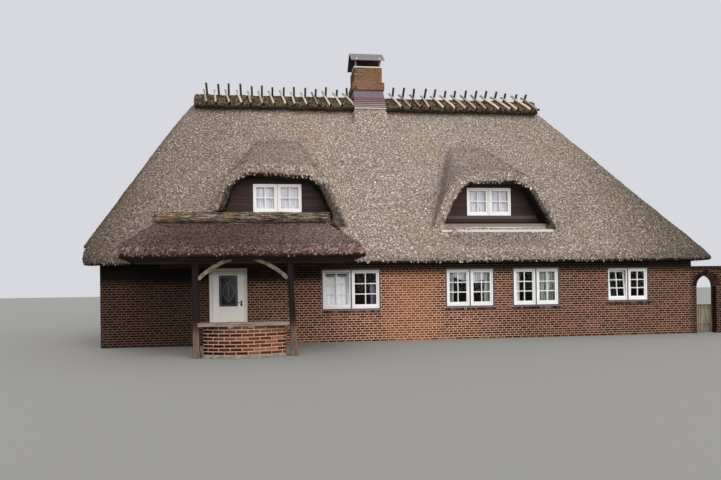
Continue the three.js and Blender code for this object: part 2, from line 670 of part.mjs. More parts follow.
function porch() {
  const middle = into(-POST.out);
  const foot = POST.footSize / 2;
  const parts = {};
  for (const [side, x, lean, way] of [['left', POST.left, 0, 1], ['right', POST.right, POST.lean, -1]]) {
    parts[`porch_post_${side}`] = joined([
      postShaft(x, lean, 0),
      block(x + lean - foot, x + lean + foot, middle - foot, middle + foot, 0, POST.footHeight),
    ]);
    parts[`porch_brace_${side}`] = brace(x + way * POST.size / 2, way).subtract(postShaft(x, lean, GAP));
  }
  parts.porch_beam = block(BEAM.left, BEAM.right, middle, middle + BEAM.depth, BEAM.bottom, BEAM.top);
  parts.porch_wall_beam = block(BEAM.left, BEAM.right, FRONT - BEAM.wallDepth, FRONT - GAP,
    BEAM.wallBottom, BEAM.top);
  parts.porch_ceiling = block(CEILING.left, CEILING.right, into(-CEILING.out), FRONT - GAP,
    BEAM.top + GAP, BEAM.top + CEILING.thick);
  parts.porch_thatch = cutBy(canopyMass(0, [CANOPY.bottom + GAP]), [
    canopyVoid(), block(-9000, 0, FRONT - GAP, 0, 0, ATTIC_TOP + GAP),
  ]);
  parts.porch_low_wall = lowWall();
  parts.porch_plank = porchPlank();
  return parts;
}

// A knee brace: a bowed bar from the post up to the ceiling, lapped over the front of the beam
function brace(x, way) {
  const [start, bend, end] = [BRACE.foot, BRACE.bend, BRACE.head];
  const line = Array.from({ length: BRACE.steps + 1 }, (_, step) => {
    const t = step / BRACE.steps;
    const point = [0, 1].map((i) => (1 - t) ** 2 * start[i] + 2 * t * (1 - t) * bend[i] + t ** 2 * end[i]);
    const run = [0, 1].map((i) => (1 - t) * (bend[i] - start[i]) + t * (end[i] - bend[i]));
    const length = Math.hypot(...run);
    return { point, normal: [-run[1] / length, run[0] / length] };
  });
  const edge = (offset) => line.map(({ point, normal }) => [
    x + way * (point[0] + normal[0] * offset), point[1] + normal[1] * offset,
  ]);
  const outline = [...edge(BRACE.width / 2), ...edge(-BRACE.width / 2).reverse()];
  const back = into(-POST.out) - GAP;
  return prismY(way > 0 ? outline.reverse() : outline, back - BRACE.depth, back)
    .trimByPlane([0, 0, -1], -BEAM.top);
}

// The low wall bows out between the posts, on a footing a little wider than itself
function lowWall() {
  const halfSpan = (LOW_WALL.right - LOW_WALL.left) / 2;
  const radius = (halfSpan ** 2 + LOW_WALL.bow ** 2) / (2 * LOW_WALL.bow);
  const centreX = (LOW_WALL.left + LOW_WALL.right) / 2;
  const centreY = into(-LOW_WALL.out) + radius;
  const disc = (r, height) => {
    const geometry = new THREE.CylinderGeometry(r, r, height, 96);
    geometry.rotateX(Math.PI / 2);
    geometry.translate(centreX, centreY, height / 2);
    return asSolid(geometry);
  };
  const inner = disc(radius - LOW_WALL.thick, LOW_WALL.height + 1).translate([0, 0, -0.5]);
  const ring = disc(radius, LOW_WALL.height).add(disc(radius + LOW_WALL.footing, LOW_WALL.footingHeight));
  const front = centreY - radius - 100;
  return ring.subtract(inner).intersect(
    block(LOW_WALL.left, LOW_WALL.right, front, into(-POST.out) + POST.size / 2, 0, LOW_WALL.height),
  );
}

function porchPlank() {
  const bottom = LOW_WALL.height + GAP;
  const left = POST.left + POST.size / 2 + GAP;
  const front = into(-PLANK.out);
  const board = block(left, PLANK.right, front, into(-PLANK.inner), bottom, bottom + PLANK.thick);
  const cleats = PLANK.cleats.map((x) => block(x, x + PLANK.cleatWidth,
    front + 2, front + PLANK.cleatDepth, bottom - PLANK.cleatHeight, bottom + 1));
  return joined([board, ...cleats]);
}

function garden() {
  const wall = GARDEN_WALL;
  const radius = (wall.archRight - wall.archLeft) / 2;
  const centre = (wall.archLeft + wall.archRight) / 2;
  const spring = wall.crown - radius;
  const arch = [[wall.archLeft, -1], [wall.archRight, -1]];
  for (let step = 0; step <= 12; step += 1) {
    const angle = step / 12 * Math.PI;
    arch.push([centre + radius * Math.cos(angle), spring + radius * Math.sin(angle)]);
  }
  const hinge = hingeFor(GATE_HINGE, GATE_HINGE.x - 74, GATE_HINGE.x + 96);
  const run = [HALF_LENGTH + GAP, wall.right];
  const body = joined([
    block(...run, FRONT, into(wall.thick), 0, wall.top),
    block(...run, into(-wall.copingOut), into(wall.thick + wall.copingOut), wall.top, wall.copingTop),
  ]).subtract(prismY(arch, FRONT - 100, into(wall.thick + 100)));
  const gateY = into(wall.thick - GATE.railThick);
  const pitch = (GATE.right - GATE.left + GATE.gap) / GATE.slats;
  const slats = Array.from({ length: GATE.slats }, (_, index) => {
    const x = GATE.left + index * pitch;
    return block(x, x + pitch - GATE.gap, gateY - GATE.slatThick, gateY + 1, GATE.bottom, GATE.top);
  });
  const rails = GATE.rails.map((z) => block(
    GATE.left, GATE.right, gateY, into(wall.thick), z, z + GATE.railHeight,
  ));
  return {
    garden_wall: joined([body, ...hinge.frameSide]),
    garden_gate: joined([...rails, ...slats, ...hinge.leafSide]),
  };
}

// Finishes: colour, roughness and metalness

const finish = (color, roughness, metalness = 0) => new THREE.MeshStandardMaterial({
  color, roughness, metalness,
});
const FINISHES = {
  brick: () => finish(0x7d4634, 0.9),
  dark_brick: () => finish(0x6e3f30, 0.9),
  chimney_brick: () => finish(0x94613c, 0.9),
  thatch: () => finish(0x82776a, 1),
  canopy_thatch: () => finish(0x6b584b, 1),
  ridge_cap: () => finish(0x544a3e, 1),
  white_paint: () => finish(0xe4e2d8, 0.5),
  glass: () => finish(0x27313a, 0.1),
  dark_boards: () => finish(0x3a2a26, 0.8),
  grey_boards: () => finish(0x8c8778, 0.9),
  dark_timber: () => finish(0x4a3527, 0.8),
  weathered_timber: () => finish(0x8b7f6c, 0.9),
  olive_timber: () => finish(0xa9a184, 0.7),
  moss_roll: () => finish(0x6d6145, 1),
  ribbed_metal: () => finish(0x7b6765, 0.5, 0.5),
  grey_metal: () => finish(0x6f706e, 0.5, 0.6),
  black_metal: () => finish(0x1c1c1c, 0.4, 0.7),
  stone_floor: () => finish(0x8a847a, 0.9),
};

const FINISH_OF = [
  [/^thatch_/, 'thatch'], [/^porch_thatch/, 'canopy_thatch'], [/^ridge_cap/, 'ridge_cap'],
  [/^chimney_stack/, 'chimney_brick'], [/^chimney_flashing/, 'ribbed_metal'], [/^chimney_hood/, 'grey_metal'],
  [/glass$/, 'glass'], [/_face$/, 'dark_boards'], [/_sill$/, 'grey_boards'], [/_roll$/, 'moss_roll'],
  [/handle$/, 'black_metal'], [/window/, 'white_paint'], [/door/, 'white_paint'],
  [/brace/, 'olive_timber'], [/plank|gate$/, 'weathered_timber'], [/low_wall/, 'dark_brick'],
  [/wall$|wall_/, 'brick'], [/ground_floor/, 'stone_floor'], [/./, 'dark_timber'],
];
const WALL_NAMES = /^(front_wall|back_wall|left_wall|right_wall|garden_wall)/;

function finishFor(name) {
  if (WALL_NAMES.test(name)) return FINISHES.brick();
  if (name === 'porch_wall_beam') return FINISHES.dark_timber();
  return FINISHES[FINISH_OF.find(([pattern]) => pattern.test(name))[1]]();
}

const cottage = new THREE.Group();
cottage.name = 'thatched_cottage';

const parts = {
  ...floors(), ...walls(), ...thatch(), ...windows(), ...dormers(), ...chimney(),
  ridge_cap_left: ridgeCap(LEFT_CAP), ridge_cap_right: ridgeCap(RIGHT_CAP),
  ...doorway(), ...porch(), ...garden(),
};

for (const [name, solid] of Object.entries(parts)) {
  const mesh = new THREE.Mesh(asGeometry(solid), finishFor(name));
  mesh.name = name;
  cottage.add(mesh);
}

export default cottage;
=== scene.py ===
# %% [markdown]
# The cottage comes from the CAD model as a fixed frame of named solids, in metres, with Z up. Everything
# here lies over those solids or takes the place of one, so each sum below starts from the sizes in the
# frame. Random choices, such as a brick's shade, come from one seeded generator, so each run gives the same
# house.

import math
from functools import partialmethod

import bmesh
import bpy
import numpy as np
from mathutils import Matrix, Vector


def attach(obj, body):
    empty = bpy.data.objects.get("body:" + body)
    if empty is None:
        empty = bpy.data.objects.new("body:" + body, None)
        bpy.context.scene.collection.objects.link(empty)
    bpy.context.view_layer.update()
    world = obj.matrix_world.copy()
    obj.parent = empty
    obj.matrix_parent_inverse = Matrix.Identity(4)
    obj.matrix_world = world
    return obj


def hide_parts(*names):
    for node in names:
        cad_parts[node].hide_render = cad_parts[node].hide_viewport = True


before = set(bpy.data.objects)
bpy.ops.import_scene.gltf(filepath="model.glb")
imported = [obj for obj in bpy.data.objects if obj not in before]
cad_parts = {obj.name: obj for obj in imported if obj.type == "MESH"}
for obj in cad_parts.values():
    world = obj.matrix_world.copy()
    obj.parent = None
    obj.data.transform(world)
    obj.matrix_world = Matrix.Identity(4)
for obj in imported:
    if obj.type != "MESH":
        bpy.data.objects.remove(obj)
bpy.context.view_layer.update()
chance = np.random.default_rng(1786)

# %% [markdown]
# A Principled shader needs colours, roughness and bumps that vary as brick, reed and paint do. Node trees
# are long to write by hand, so a Wire stands for a socket and turns sums on it into Math nodes, also where
# a plain number comes first, as in 1.0 - mask. Each colour is given as it looks on a screen, and turned to
# linear light.

# %% Wires
class Wire:
    """A socket whose value can be used in sums."""

    def __init__(self, finish, socket):
        self.finish, self.socket = finish, socket

    def _sum(self, kind, other, turned=False):
        left, right = (other, self) if turned else (self, other)
        return self.finish.node("Math", {"operation": kind}, {0: left, 1: right})

    __add__ = __radd__ = partialmethod(_sum, "ADD")
    __mul__ = __rmul__ = partialmethod(_sum, "MULTIPLY")
    __sub__ = partialmethod(_sum, "SUBTRACT")
    __rsub__ = partialmethod(_sum, "SUBTRACT", turned=True)


def linear(screen):
    """A colour of 0 to 255 as seen on a screen, as the linear colour that a shader takes."""
    return [((c / 255 + 0.055) / 1.055) ** 2.4 if c > 10.3 else c / 255 / 12.92 for c in screen] + [1.0]


print("a screen grey of 128 is", round(linear((128, 128, 128))[0], 3), "in linear light")

# %% [markdown]
# A Finish is one material. Its node method makes any node that isn't a sum, from its kind, its settings and
# what goes into its sockets. The methods below it are what brick, reed, wood and paint have in common: a
# noise, a share that grows along an axis, a mix of two colours, a shade and a bump.

# %% Finishes
class Finish:
    """One material: a Principled shader and the nodes that vary it."""

    def __init__(self, name, **sockets):
        self.material = bpy.data.materials.new(name)
        self.material.use_nodes = True
        self.tree = self.material.node_tree
        self.shader = next(n for n in self.tree.nodes if n.type == "BSDF_PRINCIPLED")
        self.set(**sockets)

    def node(self, kind, settings, sockets, output=0):
        """Adds a node, sets it up, feeds its sockets, and returns one of its outputs."""
        made = self.tree.nodes.new("ShaderNode" + kind)
        for setting, value in settings.items():
            if setting == "stops":
                ramp = made.color_ramp
                while len(ramp.elements) < len(value):
                    ramp.elements.new(0.5)
                for element, (place, colour) in zip(ramp.elements, value):
                    element.position, element.color = place, linear(colour)
            else:
                setattr(made, setting, value)
        for key, value in sockets.items():
            self.feed(made.inputs[key], value)
        return Wire(self, made.outputs[output])

    def feed(self, socket, value):
        if isinstance(value, Wire):
            self.tree.links.new(value.socket, socket)
        else:
            socket.default_value = value

    def set(self, **sockets):
        """Feeds the shader's own sockets, named in small letters with _ for a space."""
        named = {socket.name.lower().replace(" ", "_"): socket for socket in self.shader.inputs}
        for name, value in sockets.items():
            self.feed(named[name], value)

    def place(self, output="Object"):
        return self.node("TexCoord", {}, {}, output)

    def along(self, axis, output="Object"):
        """The x, y or z of a point, in metres, or with output Normal that of the way a face looks."""
        return self.node("SeparateXYZ", {}, {0: self.place(output)}, "XYZ".index(axis))

    def spread(self, value, low, high):
        """0 below low, 1 above high, and smooth between them."""
        settings = {"interpolation_type": "SMOOTHSTEP"}
        return self.node("MapRange", settings, {0: value, 1: low, 2: high, 3: 0.0, 4: 1.0})

    def above(self, axis, low, high):
        return self.spread(self.along(axis), low, high)

    def below(self, axis, low, high):
        return 1.0 - self.above(axis, low, high)

    def noise(self, scale, detail=2.0, roughness=0.5, stretch=None):
        spot = self.place()
        if stretch:
            spot = self.node("VectorMath", {"operation": "MULTIPLY"}, {0: spot, 1: stretch})
        values = {"Vector": spot, "Scale": scale, "Detail": detail, "Roughness": roughness}
        return self.node("TexNoise", {}, values)

    def grain(self, stretch, detail=4.0, roughness=0.65):
        """A noise drawn out along a board or a stem; stretch says how fast it changes along X, Y and Z."""
        return self.noise(1.0, detail, roughness, stretch)

    def mix(self, share, first, second, blend="MIX"):
        first, second = (linear(c) if isinstance(c, tuple) else c for c in (first, second))
        settings = {"data_type": "RGBA", "blend_type": blend}
        return self.node("Mix", settings, {0: share, 6: first, 7: second}, 2)

    def ramp(self, value, *stops):
        return self.node("ValToRGB", {"stops": stops}, {0: value})

    def tone(self):
        """The shade number that each brick, board or straw carries on its faces."""
        return self.node("Attribute", {"attribute_name": "tone"}, {}, 2)

    def shade(self, colour, amount):
        """A colour made lighter or darker by a number round 1."""
        grey = self.node("CombineColor", {}, {0: amount, 1: amount, 2: amount})
        return self.mix(1.0, colour, grey, "MULTIPLY")

    def paint(self, colour, amount):
        self.set(base_color=self.shade(colour, amount))

    def bump(self, height, distance, strength=1.0):
        self.set(normal=self.node("Bump", {}, {"Strength": strength, "Distance": distance, "Height": height}))


def mottled(name, dark, light, scale, detail=2.0, **sockets):
    """A finish whose colour drifts between two."""
    finish = Finish(name, **sockets)
    finish.set(base_color=finish.mix(finish.noise(scale, detail), dark, light))
    return finish


print("methods of a finish:", ", ".join(name for name in vars(Finish) if not name.startswith("_")))

# It lies over CAD nodes or takes their place. Where a CAD node has the right shape already, it is only
# dressed in a finish, which keeps the looks true to the solids.

# %% Meshes and pieces
def in_scene(name, data):
    made = bpy.data.objects.new(name, data)
    bpy.context.scene.collection.objects.link(made)
    return made


def new_mesh(name, points, faces):
    mesh = bpy.data.meshes.new(name)
    mesh.from_pydata(points, [], faces)
    return mesh


def read(items, field, kind=float):
    """Three numbers of each vertex, face or triangle of a mesh, as rows."""
    values = np.zeros(len(items) * 3, kind)
    items.foreach_get(field, values)
    return values.reshape(-1, 3)


def smooth_faces(mesh, smooth=True):
    mesh.polygons.foreach_set("use_smooth", [smooth] * len(mesh.polygons))


def set_tones(mesh, tones):
    mesh.attributes.new("tone", "FLOAT", "FACE").data.foreach_set("value", np.array(tones, np.float32))


def wear(mesh, finish):
    mesh.materials.clear()
    mesh.materials.append(finish.material)


def place_piece(name, mesh, finish, replaces=(), body="house"):
    """Puts a mesh in the scene as a piece of the house."""
    piece = in_scene(name, mesh)
    wear(mesh, finish)
    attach(piece, body)
    if replaces:
        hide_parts(*replaces)
    return piece


def dress(finish, *names):
    """Gives CAD nodes that stay in view a finish."""
    for name in names:
        wear(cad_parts[name].data, finish)


print("CAD nodes to dress or replace:", len(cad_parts))

# %% [markdown]
# Most of the house is many small solids: bricks, boards, bars and pegs. One object for each would be slow,
# so a Batch gathers like solids in one mesh. Each solid is closed and keeps a shade number of its own, its
# tone, which its finish reads. Edges of boards are cut to a small bevel, because an edge without one looks
# drawn.

# %% A bevelled box
BOX_FACES = [(0, 3, 2, 1), (4, 5, 6, 7), (0, 1, 5, 4), (1, 2, 6, 5), (2, 3, 7, 6), (3, 0, 4, 7)]
BOX_SIGNS = [(-1, -1, -1), (1, -1, -1), (1, 1, -1), (-1, 1, -1),
             (-1, -1, 1), (1, -1, 1), (1, 1, 1), (-1, 1, 1)]


def bevelled_template():
    """The corners, as signs and the axis that keeps its full length, and the faces of a bevelled box."""
    corners = [(signs, axis) for signs in BOX_SIGNS for axis in range(3)]
    shape = bmesh.new()
    for signs, axis in corners:
        shape.verts.new([s * (1.0 if i == axis else 0.9) for i, s in enumerate(signs)])
    bmesh.ops.convex_hull(shape, input=shape.verts)
    bmesh.ops.dissolve_limit(shape, angle_limit=0.01, verts=shape.verts, edges=shape.edges)
    shape.verts.ensure_lookup_table()
    bmesh.ops.recalc_face_normals(shape, faces=shape.faces)
    faces = [[v.index for v in f.verts] for f in shape.faces]
    shape.free()
    return corners, faces


BEVEL_CORNERS, BEVEL_FACES = bevelled_template()
print("a bevelled box has", len(BEVEL_FACES), "faces")

# %% Batches of small solids
MOST_BEVEL, CORNER_CUT = 0.4, 0.18


class Batch:
    """Many closed solids that become one mesh."""

    def __init__(self):
        self.points, self.faces, self.tones, self.solids = [], [], [], 0

    def add(self, points, faces, tone=None):
        shift = len(self.points)
        self.points.extend(points)
        self.faces.extend([[i + shift for i in face] for face in faces])
        self.tones.extend([chance.random() if tone is None else tone] * len(faces))
        self.solids += 1

    def box(self, low, high, bevel=0.004, turn=None, tone=None):
        """A bevelled box between two corners; turn is a matrix that places it."""
        middle = [(a + b) / 2 for a, b in zip(low, high)]
        half = [abs(b - a) / 2 for a, b in zip(low, high)]
        cut = min(bevel, MOST_BEVEL * min(half))
        points = []
        for signs, axis in BEVEL_CORNERS:
            point = Vector([m + s * (h if i == axis else h - cut)
                            for i, (m, s, h) in enumerate(zip(middle, signs, half))])
            points.append(tuple(turn @ point if turn else point))
        self.add(points, BEVEL_FACES, tone)

    def hull(self, points, tone=None):
        """The convex solid round some points."""
        shape = bmesh.new()
        for point in points:
            shape.verts.new(point)
        bmesh.ops.convex_hull(shape, input=shape.verts)
        bmesh.ops.recalc_face_normals(shape, faces=shape.faces)
        shape.verts.index_update()
        self.add([tuple(v.co) for v in shape.verts], [[v.index for v in f.verts] for f in shape.faces], tone)
        shape.free()

    def strip(self, sections, tone=None):
        """A solid through closed outlines of equal length, with flat ends."""
        size = len(sections[0])
        faces = [list(range(size))[::-1], [i + size * (len(sections) - 1) for i in range(size)]]
        for step in range(len(sections) - 1):
            for i in range(size):
                a, b = step * size + i, step * size + (i + 1) % size
                faces.append([a, b, b + size, a + size])
        self.add([tuple(p) for section in sections for p in section], faces, tone)

    def timber(self, path, width, depth, across, wobble=0.0, tone=None, taper=1.0):
        """A hewn bar along a path, with cut corners and a slightly uneven face."""
        sections = []
        for index, point in enumerate(path):
            before, after = path[max(index - 1, 0)], path[min(index + 1, len(path) - 1)]
            along = (Vector(after) - Vector(before)).normalized()
            side = (Vector(across) - along * along.dot(Vector(across))).normalized()
            out = along.cross(side)
            share = 1 + (taper - 1) * index / (len(path) - 1)
            w, d = width / 2 * share, depth / 2 * share
            cut = CORNER_CUT * min(w, d)
            ring = [(w, d - cut), (w - cut, d), (cut - w, d), (-w, d - cut),
                    (-w, cut - d), (cut - w, -d), (w - cut, -d), (w, cut - d)]
            off = chance.uniform(-wobble, wobble, 2) if wobble else (0.0, 0.0)
            sections.append([Vector(point) + side * (u + off[0]) + out * (v + off[1]) for u, v in ring])
        self.strip(sections, tone)

    def make(self, name, finish, slot=None, replaces=(), body="house", smooth=False):
        mesh = new_mesh(name, self.points, self.faces)
        set_tones(mesh, self.tones)
        shape = bmesh.new()
        shape.from_mesh(mesh)
        bmesh.ops.recalc_face_normals(shape, faces=shape.faces)
        shape.to_mesh(mesh)
        shape.free()
        smooth_faces(mesh, smooth)
        return place_piece(name, mesh, finish, replaces, body)


print("a batch makes boxes, hulls, strips and timbers")

# %% [markdown]
# The photograph was taken at eye height, a little left of the middle, with a level camera whose picture was
# shifted up to take in the roof. The same camera here makes the two pictures comparable. The floor is plain
# and pale, the sky is an even soft light, and two wide suns stand for the brighter clouds: a high one, and
# a low one that reaches in under the eaves and the porch.

# %% Camera, floor and light
FRONT = -4.25
CAMERA_AT = Vector((-3.56, -20.88, 1.56))
CAMERA_TURN = math.radians(7.19)
CAMERA_ROLL = 0.014
FOCAL_PIXELS = 620
FRAME_WIDTH = 721
HORIZON_BELOW = 44
FLOOR_HALF, FLOOR_Z = 90, -0.004
SUN_COLOUR, SKY_STRENGTH = (1.0, 0.965, 0.92), 0.84

lens = bpy.data.cameras.new("garden_camera")
lens.sensor_width = 36
lens.lens = FOCAL_PIXELS / FRAME_WIDTH * lens.sensor_width
lens.shift_y = HORIZON_BELOW / FRAME_WIDTH
camera = in_scene("garden_camera", lens)
right = Vector((math.cos(CAMERA_TURN), -math.sin(CAMERA_TURN), 0))
up = Vector((0, 0, 1))
across = right * math.cos(CAMERA_ROLL) - up * math.sin(CAMERA_ROLL)
upward = right * math.sin(CAMERA_ROLL) + up * math.cos(CAMERA_ROLL)
camera_axes = Matrix((across, upward, across.cross(upward))).transposed().to_4x4()
camera.matrix_world = Matrix.Translation(CAMERA_AT) @ camera_axes
bpy.context.scene.camera = camera
bpy.context.scene.view_settings.view_transform = "Standard"

floor_corners = [(x * FLOOR_HALF, y * FLOOR_HALF, FLOOR_Z) for x, y in ((-1, -1), (1, -1), (1, 1), (-1, 1))]
floor = in_scene("studio_floor", new_mesh("studio_floor", floor_corners, [(0, 1, 2, 3)]))
wear(floor.data, Finish("floor_paint", base_color=linear((150, 149, 144)), roughness=0.9))

sky = bpy.data.worlds.new("soft_sky")
bpy.context.scene.world = sky
sky.use_nodes = True
sky_inputs = sky.node_tree.nodes["Background"].inputs
sky_inputs[0].default_value = linear((232, 234, 240))
sky_inputs[1].default_value = SKY_STRENGTH
for title, energy, wide, tip, heading in [("high_sun", 1.0, 40, 38, 14), ("low_sun", 2.2, 60, 80, 20)]:
    sun = bpy.data.lights.new(title, "SUN")
    sun.energy, sun.angle, sun.color = energy, math.radians(wide), SUN_COLOUR
    in_scene(title, sun).rotation_euler = (math.radians(tip), 0, math.radians(heading))
print("camera", [round(v, 2) for v in CAMERA_AT], "lens", round(lens.lens, 2), "mm")

# %% [markdown]
# Reed thatch is a coat of cut stems a third of a metre thick. From a distance it reads as a soft mass whose
# surface is all stem ends, light and dark. The CAD solids have the mass with flat faces. Turning them into
# one voxel mesh joins them and softens each edge, two displacements give it the swell of a dressed roof,
# and the room under it is then cut out again. A bump alone would leave the outline straight.

# %% Soft masses
RIDGE_Z, EAVE_Z, LEFT_EAVE_Z = 7.6, 2.33, 2.65
# How far out the eaves lie from the ridge: in front and behind, at the left and at the right
SLOPE_RUN, LEFT_RUN, RIGHT_RUN = 4.65, 2.32, 3.37
SLOPE = (RIDGE_Z - EAVE_Z) / SLOPE_RUN
LEFT_SLOPE, RIGHT_SLOPE = (RIDGE_Z - LEFT_EAVE_Z) / LEFT_RUN, (RIDGE_Z - EAVE_Z) / RIGHT_RUN
SHARE_LEVELS = 8


def cad_mesh(names, hulls=()):
    """Copies of CAD nodes, and the convex solids round some sets of points, in one mesh."""
    shape = bmesh.new()
    for name in names:
        shape.from_mesh(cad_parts[name].data)
    for points in hulls:
        bmesh.ops.convex_hull(shape, input=[shape.verts.new(point) for point in points])
    mesh = bpy.data.meshes.new("rough_mass")
    shape.to_mesh(mesh)
    shape.free()
    return mesh


def baked(made):
    """The mesh of an object with its modifiers applied; the object itself goes."""
    mesh = bpy.data.meshes.new_from_object(made.evaluated_get(bpy.context.evaluated_depsgraph_get()))
    bpy.data.objects.remove(made)
    return mesh


def change(made, kind, **settings):
    """Adds a modifier to an object and sets it up."""
    modifier = made.modifiers.new(kind, kind)
    for setting, value in settings.items():
        setattr(modifier, setting, value)


def softened(mesh, voxel, smoothing, swells, cutters=(), share=None):
    """A voxel skin round a mesh, smoothed by a share from 0 to 1 at each point and displaced by noises;
    and the same skin with the cutters cut out of it."""
    made = in_scene("soft_mass", mesh)
    change(made, "REMESH", mode="VOXEL", voxel_size=voxel)
    made = in_scene("soft_mass", baked(made))
    if share:
        levels = np.rint(share(read(made.data.vertices, "co")) * SHARE_LEVELS).astype(int)
        group = made.vertex_groups.new(name="soft")
        for level in range(1, SHARE_LEVELS + 1):
            group.add(np.nonzero(levels == level)[0].tolist(), level / SHARE_LEVELS, "REPLACE")
    change(made, "SMOOTH", factor=0.5, iterations=smoothing, vertex_group="soft" if share else "")
    for size, depth in swells:
        cloud = bpy.data.textures.new("swell", "CLOUDS")
        cloud.noise_scale, cloud.noise_depth = size, 1
        change(made, "DISPLACE", texture=cloud, strength=depth, mid_level=0.5)
    skin = baked(made)
    if not cutters:
        return skin, skin.copy()
    made = in_scene("cut_mass", skin.copy())
    for cutter in cutters:
        change(made, "BOOLEAN", operation="DIFFERENCE", solver="MANIFOLD", object=cutter)
    cut_mesh = baked(made)
    for cutter in cutters:
        bpy.data.objects.remove(cutter)
    return skin, cut_mesh


print("front slope rises", round(SLOPE, 3), "m a metre")

# %% [markdown]
# A voxel skin is smooth, but each end of a cut reed catches the light by itself. Hair would not leave
# Blender as a mesh, so the stem ends are slivers with four faces, scattered over the skin in proportion to
# the size of its triangles, and laid down its slope.

# %% Stem ends
# The skin's plain tone is darker than most stem ends: painted shade in the gaps between them.
PLAIN_TONE, DARKEST_TONE = 0.15, -0.2


def shaded(tones, share):
    """Tones that go down to the darkest one where share goes to 0."""
    return tones * share + DARKEST_TONE * (1 - share)


def lay_straw(name, surface, finish, keep, count, size, fan=0.22, level=False, shade=None):
    """Cut stem ends scattered over a surface, pointing down its slope, as four-sided slivers with a tone
    each. size is their length, width and lift, and fan how far their directions differ."""
    surface.calc_loop_triangles()
    points = read(surface.vertices, "co")[read(surface.loop_triangles, "vertices", int)]
    normals = np.cross(points[:, 1] - points[:, 0], points[:, 2] - points[:, 0])
    lengths = np.linalg.norm(normals, axis=1)
    normals /= np.maximum(lengths, 1e-12)[:, None]
    weight = lengths * keep(points.mean(axis=1), normals)
    chosen = chance.choice(len(weight), count, p=weight / weight.sum())
    shares = chance.dirichlet((1, 1, 1), count)
    spot = (points[chosen] * shares[:, :, None]).sum(axis=1)
    normal = normals[chosen]
    down = np.array([0, 0, -1.0]) + normal * normal[:, 2:3]
    down[:, 0] += chance.normal(0, 0.02, count)
    if level:
        down = np.array([[1.0, 0, 0]]) - normal * normal[:, :1]
    down /= np.maximum(np.linalg.norm(down, axis=1), 1e-6)[:, None]
    angle = chance.normal(0, fan, count)[:, None]
    along = down * np.cos(angle) + np.cross(normal, down) * np.sin(angle)
    length, width, lift = size
    reach = along * length * chance.uniform(0.6, 1.4, count)[:, None]
    half = np.cross(normal, along) * (width / 2 * chance.uniform(0.6, 1.5, count)[:, None])
    rise = normal * lift * chance.uniform(0.3, 1.6, count)[:, None]
    corners = np.stack([spot - reach * 0.6 - rise, spot + reach * 0.4 + half + rise,
                        spot + reach * 0.4 - half + rise, spot + reach * 0.35 - rise * 1.2], axis=1)
    starts = np.arange(count)[:, None, None] * 4
    faces = (np.array([[0, 2, 1], [0, 1, 3], [0, 3, 2], [1, 2, 3]])[None] + starts).reshape(-1, 3)
    mesh = new_mesh(name, corners.reshape(-1, 3).tolist(), faces.tolist())
    tones = chance.random(count)
    set_tones(mesh, np.repeat(shaded(tones, shade(spot)) if shade else tones, 4))
    place_piece(name, mesh, finish)


print("tones go down to", DARKEST_TONE)

# %% [markdown]
# Old reed is grey with brown below it, ochre where moss and lichen sit, and darker towards the far right
# end. Painted shade darkens it along the foot, at the left end of the roof, on faces that look down and in
# the gaps between the stem ends. The speckle is a noise of about five centimetres, which is what the stem
# ends measure in the photograph, and the straws laid over it take a lighter or darker shade each.

# %% Reed finishes
def reed_finish(name, dark, middle, light, moss, bands, foot, wet=None):
    """bands are the colours along the house's length, foot the heights between which it gets lighter and how
    dark it stays below them, which is painted shade along the eaves, and wet a dark patch of the front slope,
    as left, right, low and high."""
    reed = Finish(name, roughness=1.0, specular_ior_level=0.1)
    speck = reed.noise(17.0, 3.0, 0.65)
    fine = reed.noise(55.0, 2.0, 0.6)
    base = reed.ramp(speck * 0.65 + fine * 0.35, (0.38, dark), (0.5, middle), (0.62, light))
    base = reed.mix(reed.spread(reed.noise(0.55, 3.0), 0.5, 0.72) * 0.42, base, moss)
    base = reed.shade(base, 0.84 + reed.noise(0.9, 3.0, 0.6) * 0.32)
    base = reed.shade(base, 0.9 + reed.grain((14.0, 3.0, 1.6), 3.0, 0.6) * 0.2)
    across = reed.node("MapRange", {}, {0: reed.along("X"), 1: -9.0, 2: 9.0, 3: 0.0, 4: 1.0})
    base = reed.mix(1.0, base, reed.ramp(across, *bands), "MULTIPLY")
    base = reed.shade(base, 0.36 + reed.tone() * 1.26)
    # Painted shade along the foot: below foot_low the reed is darkened to foot_shade.
    foot_low, foot_high, foot_shade = foot
    base = reed.shade(base, foot_shade + reed.above("Z", foot_low, foot_high) * (1.0 - foot_shade))
    if wet:
        left, right, low, high = wet
        damp = reed.above("X", left, left + 0.6) * reed.below("X", right - 0.6, right)
        damp = damp * reed.above("Z", low, low + 0.2) * reed.below("Z", high, high + 0.05)
        base = reed.shade(base, 1.0 - damp * reed.below("Y", -3.4, -3.2) * 0.26)
    # Painted shade: faces that look down, such as the eaves' undersides, are made nearly black.
    under = reed.spread(0.0 - reed.along("Z", "Normal"), 0.08, 0.4)
    reed.set(base_color=reed.mix(under * 0.93, base, (34, 28, 26)))
    reed.bump(speck * 0.5 + fine * 0.5, 0.02, 0.7)
    return reed


